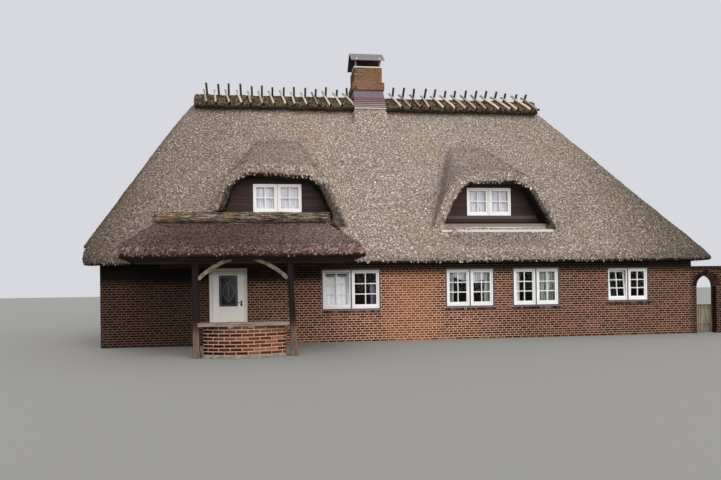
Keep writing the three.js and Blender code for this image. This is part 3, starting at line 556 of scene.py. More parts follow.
# The roof's bands are darker at the left end, which is painted shade, and towards the right end.
ROOF_BANDS = [(0.0, (130, 123, 121)), (0.12, (214, 209, 206)), (0.36, (255, 250, 247)),
              (0.58, (253, 252, 251)), (0.8, (240, 238, 234)), (0.93, (174, 169, 163)),
              (1.0, (146, 141, 136))]
CANOPY_BANDS = [(0.1, (242, 240, 240)), (0.16, (196, 193, 192)), (0.217, (186, 184, 183)),
                (0.265, (196, 192, 192)), (0.314, (222, 218, 218)), (0.363, (255, 255, 255))]
roof_reed = reed_finish("roof_reed", (112, 100, 92), (176, 162, 151), (238, 226, 214), (176, 150, 116),
                        ROOF_BANDS, (2.2, 2.5, 0.78), (0.7, 4.3, 2.45, 2.93))
canopy_reed = reed_finish("canopy_reed", (78, 63, 58), (156, 130, 120), (232, 202, 190), (147, 123, 95),
                          CANOPY_BANDS, (2.3, 2.75, 0.66))
print("reed finishes made")

# %% [markdown]
# The CAD's thatch leaves the attic open, but a voxel skin is drawn round a closed mass, so the attic is
# filled first and cut out again at the end. A low saddle carries the sheet below the chimney. The eaves and
# the lips of the dormers' hoods are kept sharp, and the flanks of the hoods darker, as deep reed in its own
# shade is.

# %% The roof's rough mass
roof_nodes = sorted(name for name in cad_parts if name.startswith("thatch_"))
RIDGE_LEFT, RIDGE_RIGHT = -6.4, 5.32
COAT, HIP_COAT = 0.32, 0.38
OVERLAP = 0.02


def void_points(thickness, hip_thickness, low):
    """The room under the thatch, as a hull with sloping ends."""
    peak = RIDGE_Z - thickness * math.hypot(1, SLOPE)
    half = (peak - low) / SLOPE

    def ends(z):
        return (RIDGE_LEFT - (RIDGE_Z - z - thickness * math.hypot(1, LEFT_SLOPE)) / LEFT_SLOPE,
                RIDGE_RIGHT + (RIDGE_Z - z - hip_thickness * math.hypot(1, RIGHT_SLOPE)) / RIGHT_SLOPE)

    return [(x, y, low) for x in ends(low) for y in (-half, half)] + [(x, 0, peak) for x in ends(peak)]


def box_points(low, high):
    return [(x, y, z) for x in (low[0], high[0]) for y in (low[1], high[1]) for z in (low[2], high[2])]


filler = void_points(COAT - OVERLAP, HIP_COAT - OVERLAP, 2.36)
stack_filler = box_points((-1.2, -0.5, 6.2), (-0.05, 0.6, 7.2))
SADDLE_SIDE = ((-0.66, 7.34), (-0.95, 6.5), (-0.1, 7.34), (-0.1, 6.5))
saddle = [(x, y, z) for x in (-1.16, -0.02) for y, z in SADDLE_SIDE]
rough_roof = cad_mesh(roof_nodes, [filler, stack_filler, saddle])
cutters = [in_scene("cutter", cad_mesh([], [points])) for points in (
    void_points(COAT, HIP_COAT, 2.0), box_points((-8.2, FRONT, 0.5), (8.2, -FRONT, 2.452)))]
print("rough roof faces", len(rough_roof.polygons))

# %% The roof's thatch
# Left, right, place in front and least height of each hood's lip
LIPS = [(-5.6, -1.7, FRONT + 0.2, 2.9), (0.5, 4.5, FRONT + 0.15, 2.6)]
# Two points of each hood's flank, seen from the front, least and most height, and the reach of its shade
LIP_FLANKS = [(((-2.12, 3.2), (-2.72, 4.35)), 3.1, 4.3, 0.44),
              (((-5.1, 3.5), (-4.8, 4.3)), 3.45, 4.25, -0.22),
              (((4.0, 3.1), (3.3, 4.25)), 3.05, 4.2, 0.26),
              (((0.95, 3.1), (1.5, 4.2)), 3.2, 4.2, -0.12)]


def soft_share(spots):
    """1 on the slopes and flanks, 0 at the eaves and at the hoods' lips, which a thatcher cuts sharp."""
    share = np.clip((spots[:, 2] - 2.42) / 0.3, 0.06, 1)
    for left, right, lip_y, low in LIPS:
        beside = (spots[:, 0] > left) * (spots[:, 0] < right) * (spots[:, 2] > low)
        near = np.clip((np.abs(spots[:, 1] - lip_y - 0.05) - 0.12) / 0.25, 0.1, 1)
        share = np.where(beside, np.minimum(share, near), share)
    return share


def lip_shade(spots):
    """1 on the open slopes, and a tenth on the flanks of the hoods, where the reed lies in its own shade."""
    share = np.ones(len(spots))
    for ((xa, za), (xb, zb)), z_low, z_high, reach in LIP_FLANKS:
        run = np.clip((spots[:, 2] - za) / (zb - za), 0, 1)
        off = (spots[:, 0] - (xa + (xb - xa) * run)) * np.sign(reach)
        near = 0.1 + 0.9 * np.clip((off / abs(reach) - 0.62) / 0.38, 0, 1) + (off < -0.12)
        beside = (spots[:, 2] > z_low) * (spots[:, 2] < z_high) * (spots[:, 1] > -4.2) * (spots[:, 1] < -3.2)
        share = np.where(beside, np.minimum(share, np.clip(near, 0, 1)), share)
    return share


def place_thatch(name, mesh, finish, replaced):
    """Smooth thatch whose faces have a plain tone, lower on the flanks of the hoods."""
    smooth_faces(mesh)
    set_tones(mesh, shaded(PLAIN_TONE, lip_shade(read(mesh.polygons, "center"))))
    place_piece(name, mesh, finish, replaced)


ROOF_VOXEL, ROOF_SMOOTHING = 0.067, 12
ROOF_SWELLS = [(1.3, 0.05), (0.22, 0.018)]
roof_skin, roof_mesh = softened(rough_roof, ROOF_VOXEL, ROOF_SMOOTHING, ROOF_SWELLS, cutters, soft_share)
place_thatch("thatch_roof", roof_mesh, roof_reed, roof_nodes)
print("roof triangles", sum(len(p.vertices) - 2 for p in roof_mesh.polygons))

# %% [markdown]
# The front slope is seen from nearby, so it gets the most stem ends. The back and the two hips get fewer,
# because each straw costs four triangles.

# %% The stem ends on the roof
def on_slope(spots):
    """Whether a point lies near the long slopes' outer face, measured level."""
    return (RIDGE_Z - spots[:, 2]) / SLOPE - np.abs(spots[:, 1]) < 0.3


# How many stem ends each side of the roof gets, and where they may lie
STEMS = {
    "front": (34000, lambda spots, facing: (facing[:, 1] < -0.25) * on_slope(spots) * (spots[:, 2] > 2.05)),
    "back": (12000, lambda spots, facing: (facing[:, 1] > 0.25) * on_slope(spots)),
    "left": (6000, lambda spots, facing: (facing[:, 0] < -0.45) * (spots[:, 0] < -5.0)),
    "right": (6000, lambda spots, facing: (facing[:, 0] > 0.45) * (spots[:, 0] > 5.0)),
}
STEM_SIZE = (0.085, 0.026, 0.007)
for title, (count, keep) in STEMS.items():
    lay_straw(f"thatch_stems_{title}", roof_skin, roof_reed, keep, count, STEM_SIZE,
              shade=lip_shade)
print("stem ends scattered")

# %% [markdown]
# The porch has a thatched canopy of its own, browner than the roof because the reed is younger there. It
# lies against the main slope, and a mossy roll of bound reed closes the joint under the left dormer.

# %% The porch canopy and the roll
canopy_skin, canopy_mesh = softened(cad_mesh(["porch_thatch"]), 0.042, 3, [(0.9, 0.03), (0.18, 0.012)])
place_thatch("porch_canopy", canopy_mesh, canopy_reed, ["porch_thatch"])
lay_straw("porch_canopy_stems", canopy_skin, canopy_reed,
          lambda spots, facing: (facing[:, 2] > -0.3) * (facing[:, 1] < 0.5), 11000, (0.085, 0.024, 0.006))

roll = Finish("mossy_roll", roughness=1.0, specular_ior_level=0.1)
roll_line = roll.grain((3.0, 26.0, 26.0), 3.0, 0.6)
roll_base = roll.ramp(roll_line, (0.38, (50, 43, 38)), (0.5, (112, 99, 88)), (0.62, (164, 150, 136)))
amber = roll.spread(roll.noise(1.3, 2.0), 0.5, 0.6) * roll.below("X", -4.9, -4.5)
roll_base = roll.mix(amber * 0.34, roll_base, (172, 122, 76))
moss_share = roll.spread(roll.noise(2.4, 3.0), 0.42, 0.62)
moss_share = moss_share * roll.spread(roll.along("Z", "Normal"), 0.1, 0.8)
moss_share = moss_share * (0.3 + roll.spread(0.0 - roll.along("X"), 3.6, 5.8) * 0.6)
roll.paint(roll.mix(moss_share, roll_base, (140, 134, 78)), 0.5 + roll.tone())
roll.bump(roll_line, 0.02, 0.8)
roll_skin, roll_mesh = softened(cad_mesh(["dormer_left_roll"]), 0.035, 3, [(0.35, 0.035), (0.09, 0.02)])
smooth_faces(roll_mesh)
place_piece("dormer_roll", roll_mesh, roll, ["dormer_left_roll"])
lay_straw("dormer_roll_stems", roll_skin, roll, lambda spots, facing: facing[:, 1] < 0.4, 2600,
          (0.16, 0.013, 0.005), 0.12, level=True)
print("canopy and roll made")

# %% [markdown]
# Reed can't be bent over the ridge, so a cap of turf and straw covers it, held by pairs of oak sticks that
# cross over the top. The cap sags between them and its lower edge is ragged, with painted shade along its
# foot. Each pair has a pale weathered stick in front, which leans, and one behind it that is darker from
# painted shade, and a pin goes through the front one at its foot.

# %% Turf and oak
turf = Finish("ridge_turf", roughness=1.0, specular_ior_level=0.1)
turf_base = turf.ramp(turf.noise(13.0, 4.0, 0.7),
                      (0.38, (36, 29, 24)), (0.5, (78, 66, 54)), (0.62, (130, 116, 98)))
turf_base = turf.mix(turf.spread(turf.noise(1.7, 3.0), 0.5, 0.66) * 0.5, turf_base, (102, 98, 58))
# Painted shade: the cap is darker along its foot, below 7.46 m, where it meets the thatch.
turf.paint(turf_base, (0.55 + turf.tone() * 0.8) * (1.0 - turf.below("Z", 7.4, 7.46) * 0.5))
turf.bump(turf.noise(30.0, 4.0, 0.7), 0.03, 0.8)
stick = Finish("weathered_oak", roughness=0.85, specular_ior_level=0.25)
stick_grain = stick.grain((60.0, 18.0, 9.0), 3.0, 0.6)
stick_base = stick.mix(stick.tone(), (30, 25, 23), (198, 180, 158))
# Painted shade: the sticks' ends above the ridge are darker.
stick_base = stick.mix(stick.above("Z", 7.8, 8.0) * 0.6, stick_base, (74, 70, 62))
stick.paint(stick_base, 0.7 + stick_grain * 0.6)
stick.bump(stick_grain, 0.004, 0.6)
print("turf and oak finishes made")

# %% The ridge caps and their sticks
CAP_HALF = [(-0.47, 7.375), (-0.44, 7.42), (-0.405, 7.48), (-0.3, 7.63), (-0.2, 7.76), (-0.1, 7.83)]
CAP_OUTLINE = CAP_HALF + [(0.0, 7.87)] + [(-y, z) for y, z in CAP_HALF[::-1]]
# Left and right end, first stick, step from stick to stick, least lean, and more lean for each stick
CAPS = {"left": (-6.3, -1.118, -5.99, 0.355, 0.07, 0.009), "right": (-0.057, 5.25, 0.2, 0.36, 0.28, 0.011)}
STICKS, TUFTS, CAP_STEP = 14, 5200, 0.07
PEG_FOOT_Y, PEG_FOOT_Z = 0.418, 7.44
PIN_Y, PIN_Z, PIN_HALF = -0.47, 7.475, 0.036


def on_cap(spots, facing):
    """The top and the flanks of a cap, without its two ends."""
    return (facing[:, 2] > -0.1) * (abs(facing[:, 0]) < 0.8)


for side, (x0, x1, first, step, least_lean, more_lean) in CAPS.items():
    steps = int((x1 - x0) / CAP_STEP)
    sections = []
    for index in range(steps + 1):
        x = x0 + (x1 - x0) * index / steps
        sag = 0.02 * math.sin(index * 0.37) + chance.normal(0, 0.008)
        ragged = chance.normal(0, 0.022, len(CAP_OUTLINE))
        sections.append([(x + chance.normal(0, 0.008), y * (1 + 0.02 * math.sin(index * 0.9)),
                          z + sag * 0.5 + (abs(rag) - 0.03 if z < 7.4 else rag * 0.3))
                         for rag, (y, z) in zip(ragged, CAP_OUTLINE)])
    cap = Batch()
    cap.strip(sections, 0.5)
    cap_piece = cap.make(f"ridge_cap_{side}_turf", turf, "ridge_turf", [f"ridge_cap_{side}"], smooth=True)
    lay_straw(f"ridge_cap_{side}_tufts", cap_piece.data, turf, on_cap, TUFTS,
              (0.09, 0.012, 0.01), 0.4)
    sticks = Batch()
    for index in range(STICKS):
        x = first + step * index + chance.normal(0, 0.012)
        lean = least_lean + more_lean * index + chance.normal(0, 0.05)
        if side == "left" and index == STICKS - 1:
            lean = 0.3
        top = 8.01 + chance.uniform(-0.04, 0.04)
        front = [(x + lean * share - 0.03 * (1 - share), y, z) for share, y, z in (
            (1.0, -0.45, 7.46), (0.7, -0.35, 7.62), (0.4, -0.25, 7.765),
            (0.12, -0.15, 7.89), (-0.14, -0.08, top))]
        sticks.timber(front, 0.054 + lean * 0.08, 0.045, (1, 0, 0), 0.007, chance.uniform(0.35, 1.0), 0.75)
        top = 8.19 - 0.004 * index - chance.uniform(0.0, 0.06)
        back_x = x + 0.08 + chance.normal(0, 0.01)
        back = [(back_x, PEG_FOOT_Y, PEG_FOOT_Z), (back_x, PEG_FOOT_Y - 0.36, PEG_FOOT_Z + 0.41),
                (back_x + chance.normal(0, 0.012), PEG_FOOT_Y - (top - PEG_FOOT_Z) / SLOPE, top)]
        # The back stick's low tone is painted shade on its side that turns from the light.
        sticks.timber(back, 0.066, 0.05, (1, 0, 0), 0.004, chance.uniform(0.0, 0.12))
        pin = (x + lean + 0.01, PIN_Y, PIN_Z)
        sticks.box([c - PIN_HALF for c in pin], [c + PIN_HALF for c in pin], 0.014, None, 0.0)
    sticks.make(f"ridge_cap_{side}_sticks", stick, "ridge_turf")
print("ridge caps and sticks made")

# %% [markdown]
# The walls are laid in English cross bond: a course of stretchers, a course of headers, with every other
# stretcher course moved half a brick. Mortar joints catch light from their edges, so each brick is a solid
# of its own, proud of the CAD wall by a few millimetres, and the wall behind it is the mortar. Where a
# window, a sill or an arch stands in the way, the brick is cut to what is left of it, as a bricklayer
# would.

# %% Laying bricks
COURSE = 0.064
STRETCHER = 0.234
JOINT = 0.016
PROUD, SUNK = 0.005, 0.003
EDGE = 0.0025
LEAST_WIDE, LEAST_HIGH = 0.014, 0.012
UNEVEN = 0.0012


def clipped(brick, holes):
    """What is left of a brick's face, as rectangles, outside some holes."""
    parts = [brick]
    for left, right, low, high in holes:
        rest = []
        for u0, u1, v0, v1 in parts:
            if u1 <= left or u0 >= right or v1 <= low or v0 >= high:
                rest.append((u0, u1, v0, v1))
            else:
                inside = (max(u0, left), min(u1, right))
                rest += [(u0, left, v0, v1), (right, u1, v0, v1), (*inside, v0, low), (*inside, high, v1)]
        parts = rest
    return [p for p in parts if p[1] - p[0] > LEAST_WIDE and p[3] - p[2] > LEAST_HIGH]


def lay_brick(batch, place, face, proud=PROUD, tone=None):
    out = proud + chance.uniform(-UNEVEN, UNEVEN)
    points = []
    for inset, level in ((0, -SUNK), (EDGE, out)):
        u0, u1, v0, v1 = face[0] + inset, face[1] - inset, face[2] + inset, face[3] - inset
        points += [place(u, v, level) for u, v in ((u0, v0), (u1, v0), (u1, v1), (u0, v1))]
    batch.add(points, BOX_FACES, tone)


def lay_wall(batch, place, width, low, high, holes=(), course=COURSE, stretcher=STRETCHER, start=0.0,
             headers=True, joint=JOINT):
    """Bricks over a wall's face; place turns along, up and out into a point."""
    row = 0
    base = low
    while base < high - 0.02:
        header = headers and row % 2 == 1
        moved = row % 4 == 2 if headers else row % 2 == 1
        pitch = stretcher / 2 if header else stretcher
        u = start - (stretcher / 4 if header else stretcher / 2 if moved else 0) - stretcher
        top = min(base + course - joint / 2, high)
        while u < width:
            face = (max(u + joint / 2, 0.0), min(u + pitch - joint / 2, width), base + joint / 2, top)
            if face[1] - face[0] > LEAST_WIDE:
                tone = chance.random() * 0.65 if header else 0.2 + chance.random() * 0.8
                for part in clipped(face, holes):
                    lay_brick(batch, place, part, PROUD, tone)
            u += pitch
        base += course
        row += 1


def flat_wall(corner, along):
    """place for a flat wall: the foot of its left end, seen from outside, and the way it runs from there."""
    origin, along = Vector((*corner, 0)), Vector((*along, 0))
    out = along.cross(Vector((0, 0, 1)))

    def place(u, v, proud):
        return tuple(origin + along * u + Vector((0, 0, v)) + out * proud)
    return place


print("a course is", COURSE, "m and a stretcher", STRETCHER, "m")

# %% [markdown]
# The bricks are brown-red, each a little different, with some nearly black from the kiln. They are lighter
# and more orange beside the middle windows, a painted patch of sunlight, and darker, purplish towards the
# ends, with painted shade under the eaves and the porch and at the left end. The mortar is light and sandy.
# Inside, the same CAD walls are plastered, so the finish changes to plaster on faces that look into the
# rooms; its dull brown is painted shade for the dim rooms.

# %% Brick finishes
def painted_wall_shade(finish, base):
    """Painted shade just under the eaves, under the porch, behind its left post and at the left end of the
    front; the front is also darker towards its right end.
    """
    front = finish.below("Y", -4.0, -3.8)
    by_porch = front * finish.below("X", -2.3, -1.7)
    high = finish.spread(finish.along("Z") + by_porch * 0.2, 1.7, 2.0)
    high = high * finish.below("Z", 2.6, 3.0) * finish.below("X", 8.16, 8.22)
    right_part = finish.above("X", 1.5, 3.2) * 0.34 + finish.above("X", 5.6, 7.0) * 0.1
    right_part = right_part + finish.above("X", 8.1, 8.25) * 0.3
    behind_post = finish.below("X", -5.2, -4.5) * finish.below("Y", -6.5, -6.4) * 0.34
    ends = finish.below("X", -6.3, -3.6) * 0.62 + by_porch * 0.2 + behind_post + right_part
    ends = ends * front * finish.below("Z", 6.0, 7.0)
    return finish.shade(base, (1.0 - high * 0.88) * (1.0 - ends))


def brick_finish(name, *colours, mossy=0.0, worn=False):
    """colours are dark, middle, light and rare, mossy is the share of moss, and worn dulls the top."""
    brick = Finish(name, roughness=0.92, specular_ior_level=0.2)
    base = brick.ramp(brick.tone(), *zip((0.0, 0.3, 0.75, 0.97), colours))
    base = brick.shade(base, 0.82 + brick.noise(0.8, 2.0) * 0.36)
    grit = brick.noise(60.0, 3.0, 0.7)
    base = brick.shade(base, 0.8 + grit * 0.4)
    # A painted patch of sunlight: the bricks beside the middle windows are lighter and more orange.
    orange = brick.above("X", -1.1, -0.5) * brick.below("X", 0.3, 1.0)
    base = brick.mix(orange * 0.22, base, (186, 116, 76))
    if worn:
        base = brick.mix(brick.above("Z", 0.52, 0.6) * 0.5, base, (112, 96, 74))
    if mossy:
        base = brick.mix(brick.spread(brick.noise(2.6, 3.0), 0.5, 0.6) * 0.5, base, (150, 102, 92))
        base = brick.mix(brick.spread(brick.noise(3.0, 4.0, 0.6), 0.46, 0.6) * mossy, base, (104, 88, 56))
    brick.set(base_color=painted_wall_shade(brick, base))
    brick.bump(grit, 0.004, 0.6)
    return brick


wall_brick = brick_finish("wall_brick", (10, 6, 6), (34, 16, 13), (84, 41, 29), (128, 76, 56))
porch_brick = brick_finish("porch_brick", (28, 14, 11), (66, 32, 25), (106, 56, 42), (150, 100, 80),
                           worn=True)
sill_brick = brick_finish("sill_brick", (34, 26, 25), (66, 50, 46), (104, 82, 74), (140, 120, 112))
stack_brick = brick_finish("stack_brick", (34, 23, 19), (62, 41, 33), (108, 72, 54), (140, 100, 80),
                           mossy=0.5)

mortar = Finish("wall_mortar", roughness=0.95, specular_ior_level=0.15)
mortar_grit = mortar.noise(45.0, 3.0, 0.7)
mortar_base = mortar.ramp(mortar_grit, (0.3, (184, 140, 114)), (0.7, (228, 186, 158)))
from_middle = mortar.node("Math", {"operation": "ABSOLUTE"}, {0: mortar.along("X")})
# The plaster inside is a dull brown, painted shade for the dim rooms.
indoors = mortar.above("Y", -4.2, -4.1) * mortar.below("Y", 4.1, 4.2)
indoors = indoors * (1.0 - mortar.spread(from_middle, 8.1, 8.17))
mortar.set(base_color=painted_wall_shade(mortar, mortar.mix(indoors, mortar_base, (150, 142, 130))))
mortar.bump(mortar_grit, 0.006, 0.7)
dress(mortar, "front_wall_left", "front_wall_over_door", "front_wall_right", "back_wall", "left_wall",
      "right_wall", "garden_wall")
print("brick finishes made")

# %% [markdown]
# Each wall is laid from its left end, as seen from outside, so one set of openings serves its bricks, its
# sills and its windows. The doorway stays free too, and so does the strip where the garden wall meets the
# right end.

# %% The house walls
def outside(x, y, quarters=0):
    """Takes a window from the front wall's directions to those of a wall turned by quarters."""
    return Matrix.Translation((x, y, 0)) @ Matrix.Rotation(quarters * math.pi / 2, 4, "Z")


SILL_DEEP, SILL_WIDER = 0.085, 0.035
WALL_HALF, END_HALF, SIDE_X = 8.205, 4.25, 8.2
at_front, behind = outside(0, FRONT), outside(0, -FRONT, 2)
to_left, to_right = outside(-SIDE_X, 0, -1), outside(SIDE_X, 0, 1)
# Openings as left, right, bottom and top, seen from outside, and the wall they are in
WINDOWS = {
    "window_1": (-2.52, -0.91, 0.86, 1.97, at_front),
    "window_2": (0.90, 2.29, 0.88, 1.96, at_front),
    "window_3": (2.82, 4.19, 0.88, 1.96, at_front),
    "window_4": (5.62, 6.88, 0.965, 1.935, at_front),
    "back_window_1": (4.3, 5.7, 0.88, 1.96, behind),
    "back_window_2": (-0.7, 0.7, 0.88, 1.96, behind),
    "back_window_3": (-5.7, -4.3, 0.88, 1.96, behind),
    "left_window": (-0.7, 0.7, 0.88, 1.96, to_left),
    "right_window": (-0.7, 0.7, 0.88, 1.96, to_right),
}


def holes_in(wall, half):
    """The holes that a wall's windows and their sills leave in its bricks, measured from its left end."""
    holes = []
    for left, right, low, high, turn in WINDOWS.values():
        if turn is wall:
            left, right = left + half, right + half
            holes += [(left, right, low - 0.005, high), (left - 0.04, right + 0.04, low - SILL_DEEP, low)]
    return holes


door_hole = [(WALL_HALF - 5.47, WALL_HALF - 4.48, 0.0, 2.02)]
garden_wall_end = [(-0.01, 0.25, 0.0, 2.0)]
for side, turn, half, corner, along, short, top, more_holes, start in [
        ("front", at_front, WALL_HALF, (-WALL_HALF, FRONT), (1, 0), 0.005, 2.26, door_hole, 0),
        ("back", behind, WALL_HALF, (WALL_HALF, -FRONT), (-1, 0), 0, 2.26, [], 0),
        ("left", to_left, END_HALF, (-SIDE_X, END_HALF), (0, -1), 0, 2.6, [], 0.08),
        ("right", to_right, END_HALF, (SIDE_X, -END_HALF), (0, 1), 0, 2.4, garden_wall_end, 0.08)]:
    bricks = Batch()
    holes = holes_in(turn, half) + more_holes
    lay_wall(bricks, flat_wall(corner, along), 2 * half - short, 0.0, top, holes, start=start)
    bricks.make(f"{side}_wall_bricks", wall_brick, "brick")
    print(side, "wall bricks:", bricks.solids)

# %% [markdown]
# Under each window lies a row of bricks on edge. They slope, so that rain runs off, and stand a little
# proud of the wall. Their pitch is fitted to the opening, as a bricklayer would space them.

# %% Window sills of bricks on edge
SILL_BRICK, SILL_SLOPE = 0.078, math.radians(9)
sills = Batch()
slope = Matrix.Rotation(SILL_SLOPE, 4, "X")
for left, right, low, _, turn in WINDOWS.values():
    length = right - left + 2 * SILL_WIDER
    pitch = length / round(length / SILL_BRICK)
    x = left - SILL_WIDER
    while x < right + 0.03:
        here = Matrix.Translation((x + pitch / 2, 0.0, low - 0.036)) @ slope
        sills.box((0.004 - pitch / 2, -0.05, -0.035), (pitch / 2 - 0.004, 0.07, 0.028), 0.006, turn @ here)
        x += pitch
sills.make("window_sills", sill_brick, "brick")
print("sill bricks", sills.solids)

# %% [markdown]
# The garden wall carries on from the corner with an arched gateway. A ring of bricks on edge stands round
# the arch, and a coping of bricks on edge lies along the top.

# %% The garden wall
ARCH_MIDDLE, ARCH_RADIUS, ARCH_CROWN = 8.68, 0.315, 1.674
ARCH_SPRING = ARCH_CROWN - ARCH_RADIUS
RING, RING_BRICKS = 0.13, 17
WALL_START, WALL_END, WALL_THICK = 8.206, 9.6, 0.25
WALL_BACK = FRONT + WALL_THICK
WALL_HIGH, COPING_HIGH = 1.865, 1.935
COPING_STEP, COPING_BRICK, COPING_OUT = 0.0712, 0.071, 0.048
RING_GAP = 0.012
JAMB_CLEAR = 0.19
half_ring = ARCH_RADIUS + RING
# The arch and its ring as half widths between a bottom and a top
arch_steps = [(ARCH_RADIUS + 0.004, -0.01, ARCH_SPRING)]
for row in range(int(WALL_HIGH / COURSE) + 1):
    low = row * COURSE
    middle = low + COURSE / 2 - ARCH_SPRING
    if -COURSE / 2 < middle < half_ring + 0.02:
        wide = math.sqrt(max(half_ring ** 2 - max(middle, 0) ** 2, 0.0004))
        arch_steps.append((wide, max(low, ARCH_SPRING), low + COURSE))
garden_bricks = Batch()
for corner, along, width, arch_at, start in [
        ((WALL_START, FRONT), (1, 0), WALL_END - WALL_START, ARCH_MIDDLE - WALL_START, 0.1),
        ((WALL_END, WALL_BACK), (-1, 0), WALL_END - WALL_START, WALL_END - ARCH_MIDDLE, 0.0),
        ((WALL_END, FRONT), (0, 1), WALL_THICK, None, 0.12)]:
    holes = [(arch_at - wide, arch_at + wide, low, high) for wide, low, high in arch_steps] if arch_at else []
    lay_wall(garden_bricks, flat_wall(corner, along), width, 0.0, WALL_HIGH, holes, start=start)
for corner, along, start in [((ARCH_MIDDLE - ARCH_RADIUS, FRONT), (0, 1), 0.0),
                             ((ARCH_MIDDLE + ARCH_RADIUS, WALL_BACK), (0, -1), WALL_THICK - JAMB_CLEAR)]:
    for row in range(int(ARCH_SPRING / COURSE)):
        low = row * COURSE
        lay_brick(garden_bricks, flat_wall(corner, along),
                  (start + 0.004, start + JAMB_CLEAR, low + 0.005, low + COURSE - 0.005), 0.003)
for face_y, out in [(FRONT, -1), (WALL_BACK, 1)]:
    for index in range(RING_BRICKS):
        angles = (math.pi * index / RING_BRICKS + RING_GAP, math.pi * (index + 1) / RING_BRICKS - RING_GAP)
        garden_bricks.hull([
            (ARCH_MIDDLE + radius * math.cos(angle), face_y + out * proud,
             ARCH_SPRING + radius * math.sin(angle))
            for proud in (-0.004, 0.009) for radius in (ARCH_RADIUS + 0.002, half_ring) for angle in angles])
x = WALL_START
while x < WALL_END - 0.02:
    end = min(x + COPING_BRICK, WALL_END)
    garden_bricks.box((x + 0.004, FRONT - COPING_OUT, WALL_HIGH - 0.004),
                      (end - 0.004, WALL_BACK + COPING_OUT, COPING_HIGH + 0.008), 0.006)
    x += COPING_STEP
garden_bricks.make("garden_wall_bricks", wall_brick, "brick")
print("garden wall bricks", garden_bricks.solids)

# %% [markdown]
# The low porch wall bows out between its posts. It is laid in larger bricks, all stretchers, on a rough
# grey footing. The same bricklaying works on a curve once along is an arc's length.

# %% The low porch wall
LOW_X, LOW_FRONT, HALF_SPAN, BOW = -4.39, -7.37, 0.89, 0.25
LOW_THICK, LOW_FOOT, LOW_TOP = 0.12, 0.066, 0.69
LOW_COURSE, LOW_STRETCHER, LOW_JOINT = 0.078, 0.255, 0.018
bow_radius = (HALF_SPAN ** 2 + BOW ** 2) / (2 * BOW)
half_turn = math.asin(HALF_SPAN / bow_radius)


def on_bow(radius, way):
    """place for the outer face, with way 1, or the inner face, with way -1; and the length of that face."""
    length = 2 * half_turn * radius

    def place(u, v, proud):
        angle = way * (u / length * 2 - 1) * half_turn
        reach = radius + way * proud
        return (LOW_X + reach * math.sin(angle), LOW_FRONT + bow_radius - reach * math.cos(angle), v)
    return place, length


low_bricks = Batch()
for radius, way in [(bow_radius, 1), (bow_radius - LOW_THICK, -1)]:
    lay_wall(low_bricks, *on_bow(radius, way), LOW_FOOT, LOW_TOP, course=LOW_COURSE,
             stretcher=LOW_STRETCHER, headers=False, joint=LOW_JOINT)
low_bricks.make("porch_low_wall_bricks", porch_brick, "porch_brick")
footing = Finish("footing_stone", roughness=0.95, specular_ior_level=0.15)
foot_grit = footing.noise(14.0, 4.0, 0.65)
footing.set(base_color=footing.mix(
    footing.below("Z", 0.055, 0.068), footing.ramp(foot_grit, (0.3, (150, 114, 92)), (0.7, (198, 160, 136))),
    footing.ramp(foot_grit, (0.3, (92, 88, 78)), (0.7, (158, 152, 140)))))
footing.bump(foot_grit, 0.012, 0.8)
dress(footing, "porch_low_wall")
print("low wall bricks", low_bricks.solids)

# %% [markdown]
# Each window is a pair of casements, painted white, in blue-grey trim. A sash is a smaller frame inside the
# fixed one, with thin bars before the glass. The left sashes of the first and the last window are tilted in
# at the top. Seen from outside, glass is mostly what stands behind it, so the panes are thin, dark and
# partly clear.

# %% Joinery finishes
TILT = math.radians(6.5)
BAR = 0.028


def paint_finish(name, light, dull):
    """Oil paint, worn in patches, with a dull green painted shade where it lies close under the eaves."""
    paint = Finish(name, roughness=0.45)
    base = paint.mix(paint.noise(6.0, 4.0, 0.6) * 0.6, light, dull)
    # Painted shade: a dull green where the paint lies close under the eaves, on windows and door alike.
    base = paint.mix(paint.above("Z", 1.78, 1.92) * paint.below("Z", 2.2, 2.6) * 0.8, base, (156, 158, 136))
    paint.paint(base, 0.93 + paint.tone() * 0.1)
    paint.bump(paint.noise(70.0, 2.0), 0.001, 0.3)
    return paint


white_paint = paint_finish("white_paint", (242, 241, 242), (218, 214, 206))
door_paint = paint_finish("door_paint", (255, 252, 244), (240, 235, 224))
blue_trim = Finish("blue_grey_paint", roughness=0.5)
trim_base = blue_trim.mix(blue_trim.noise(9.0, 3.0), (44, 44, 62), (84, 82, 106))
# Painted shade: the trim goes nearly black towards its top, under the eaves.
blue_trim.set(base_color=blue_trim.mix(blue_trim.above("Z", 1.2, 1.95) * 0.6, trim_base, (24, 24, 28)))
pane_finish = mottled("window_pane", (12, 16, 15), (20, 26, 25), 2.0, roughness=0.03, alpha=0.05,
                      specular_ior_level=0.6)


def tipped(turn, foot_z):
    """A matrix that also tilts a sash in at the top, about its foot."""
    foot = Vector((0, 0.055, foot_z))
    return turn @ Matrix.Translation(foot) @ Matrix.Rotation(-TILT, 4, "X") @ Matrix.Translation(-foot)


def frame_boxes(batch, box, widths, depth, turn, bevel=0.004):
    """Four rails in a rectangle, with widths at its left, right, foot and head; returns what they leave."""
    x0, x1, z0, z1 = box
    a0, a1, b0, b1 = x0 + widths[0], x1 - widths[1], z0 + widths[2], z1 - widths[3]
    for left, right, low, high in [(x0, a0, z0, z1), (a1, x1, z0, z1), (a0, a1, z0, b0), (a0, a1, b1, z1)]:
        batch.box((left, depth[0], low), (right, depth[1], high), bevel, turn)
    return a0, a1, b0, b1


print("a sash tilts by", round(math.degrees(TILT), 1), "degrees")

# %% [markdown]
# A fixed frame holds each sash, and one function makes both from rails and bars, so that all the windows
# have the same sections. The sizes are those of real joinery: rails of four centimetres, and a deeper rail
# at the foot of a sash, where rain collects.

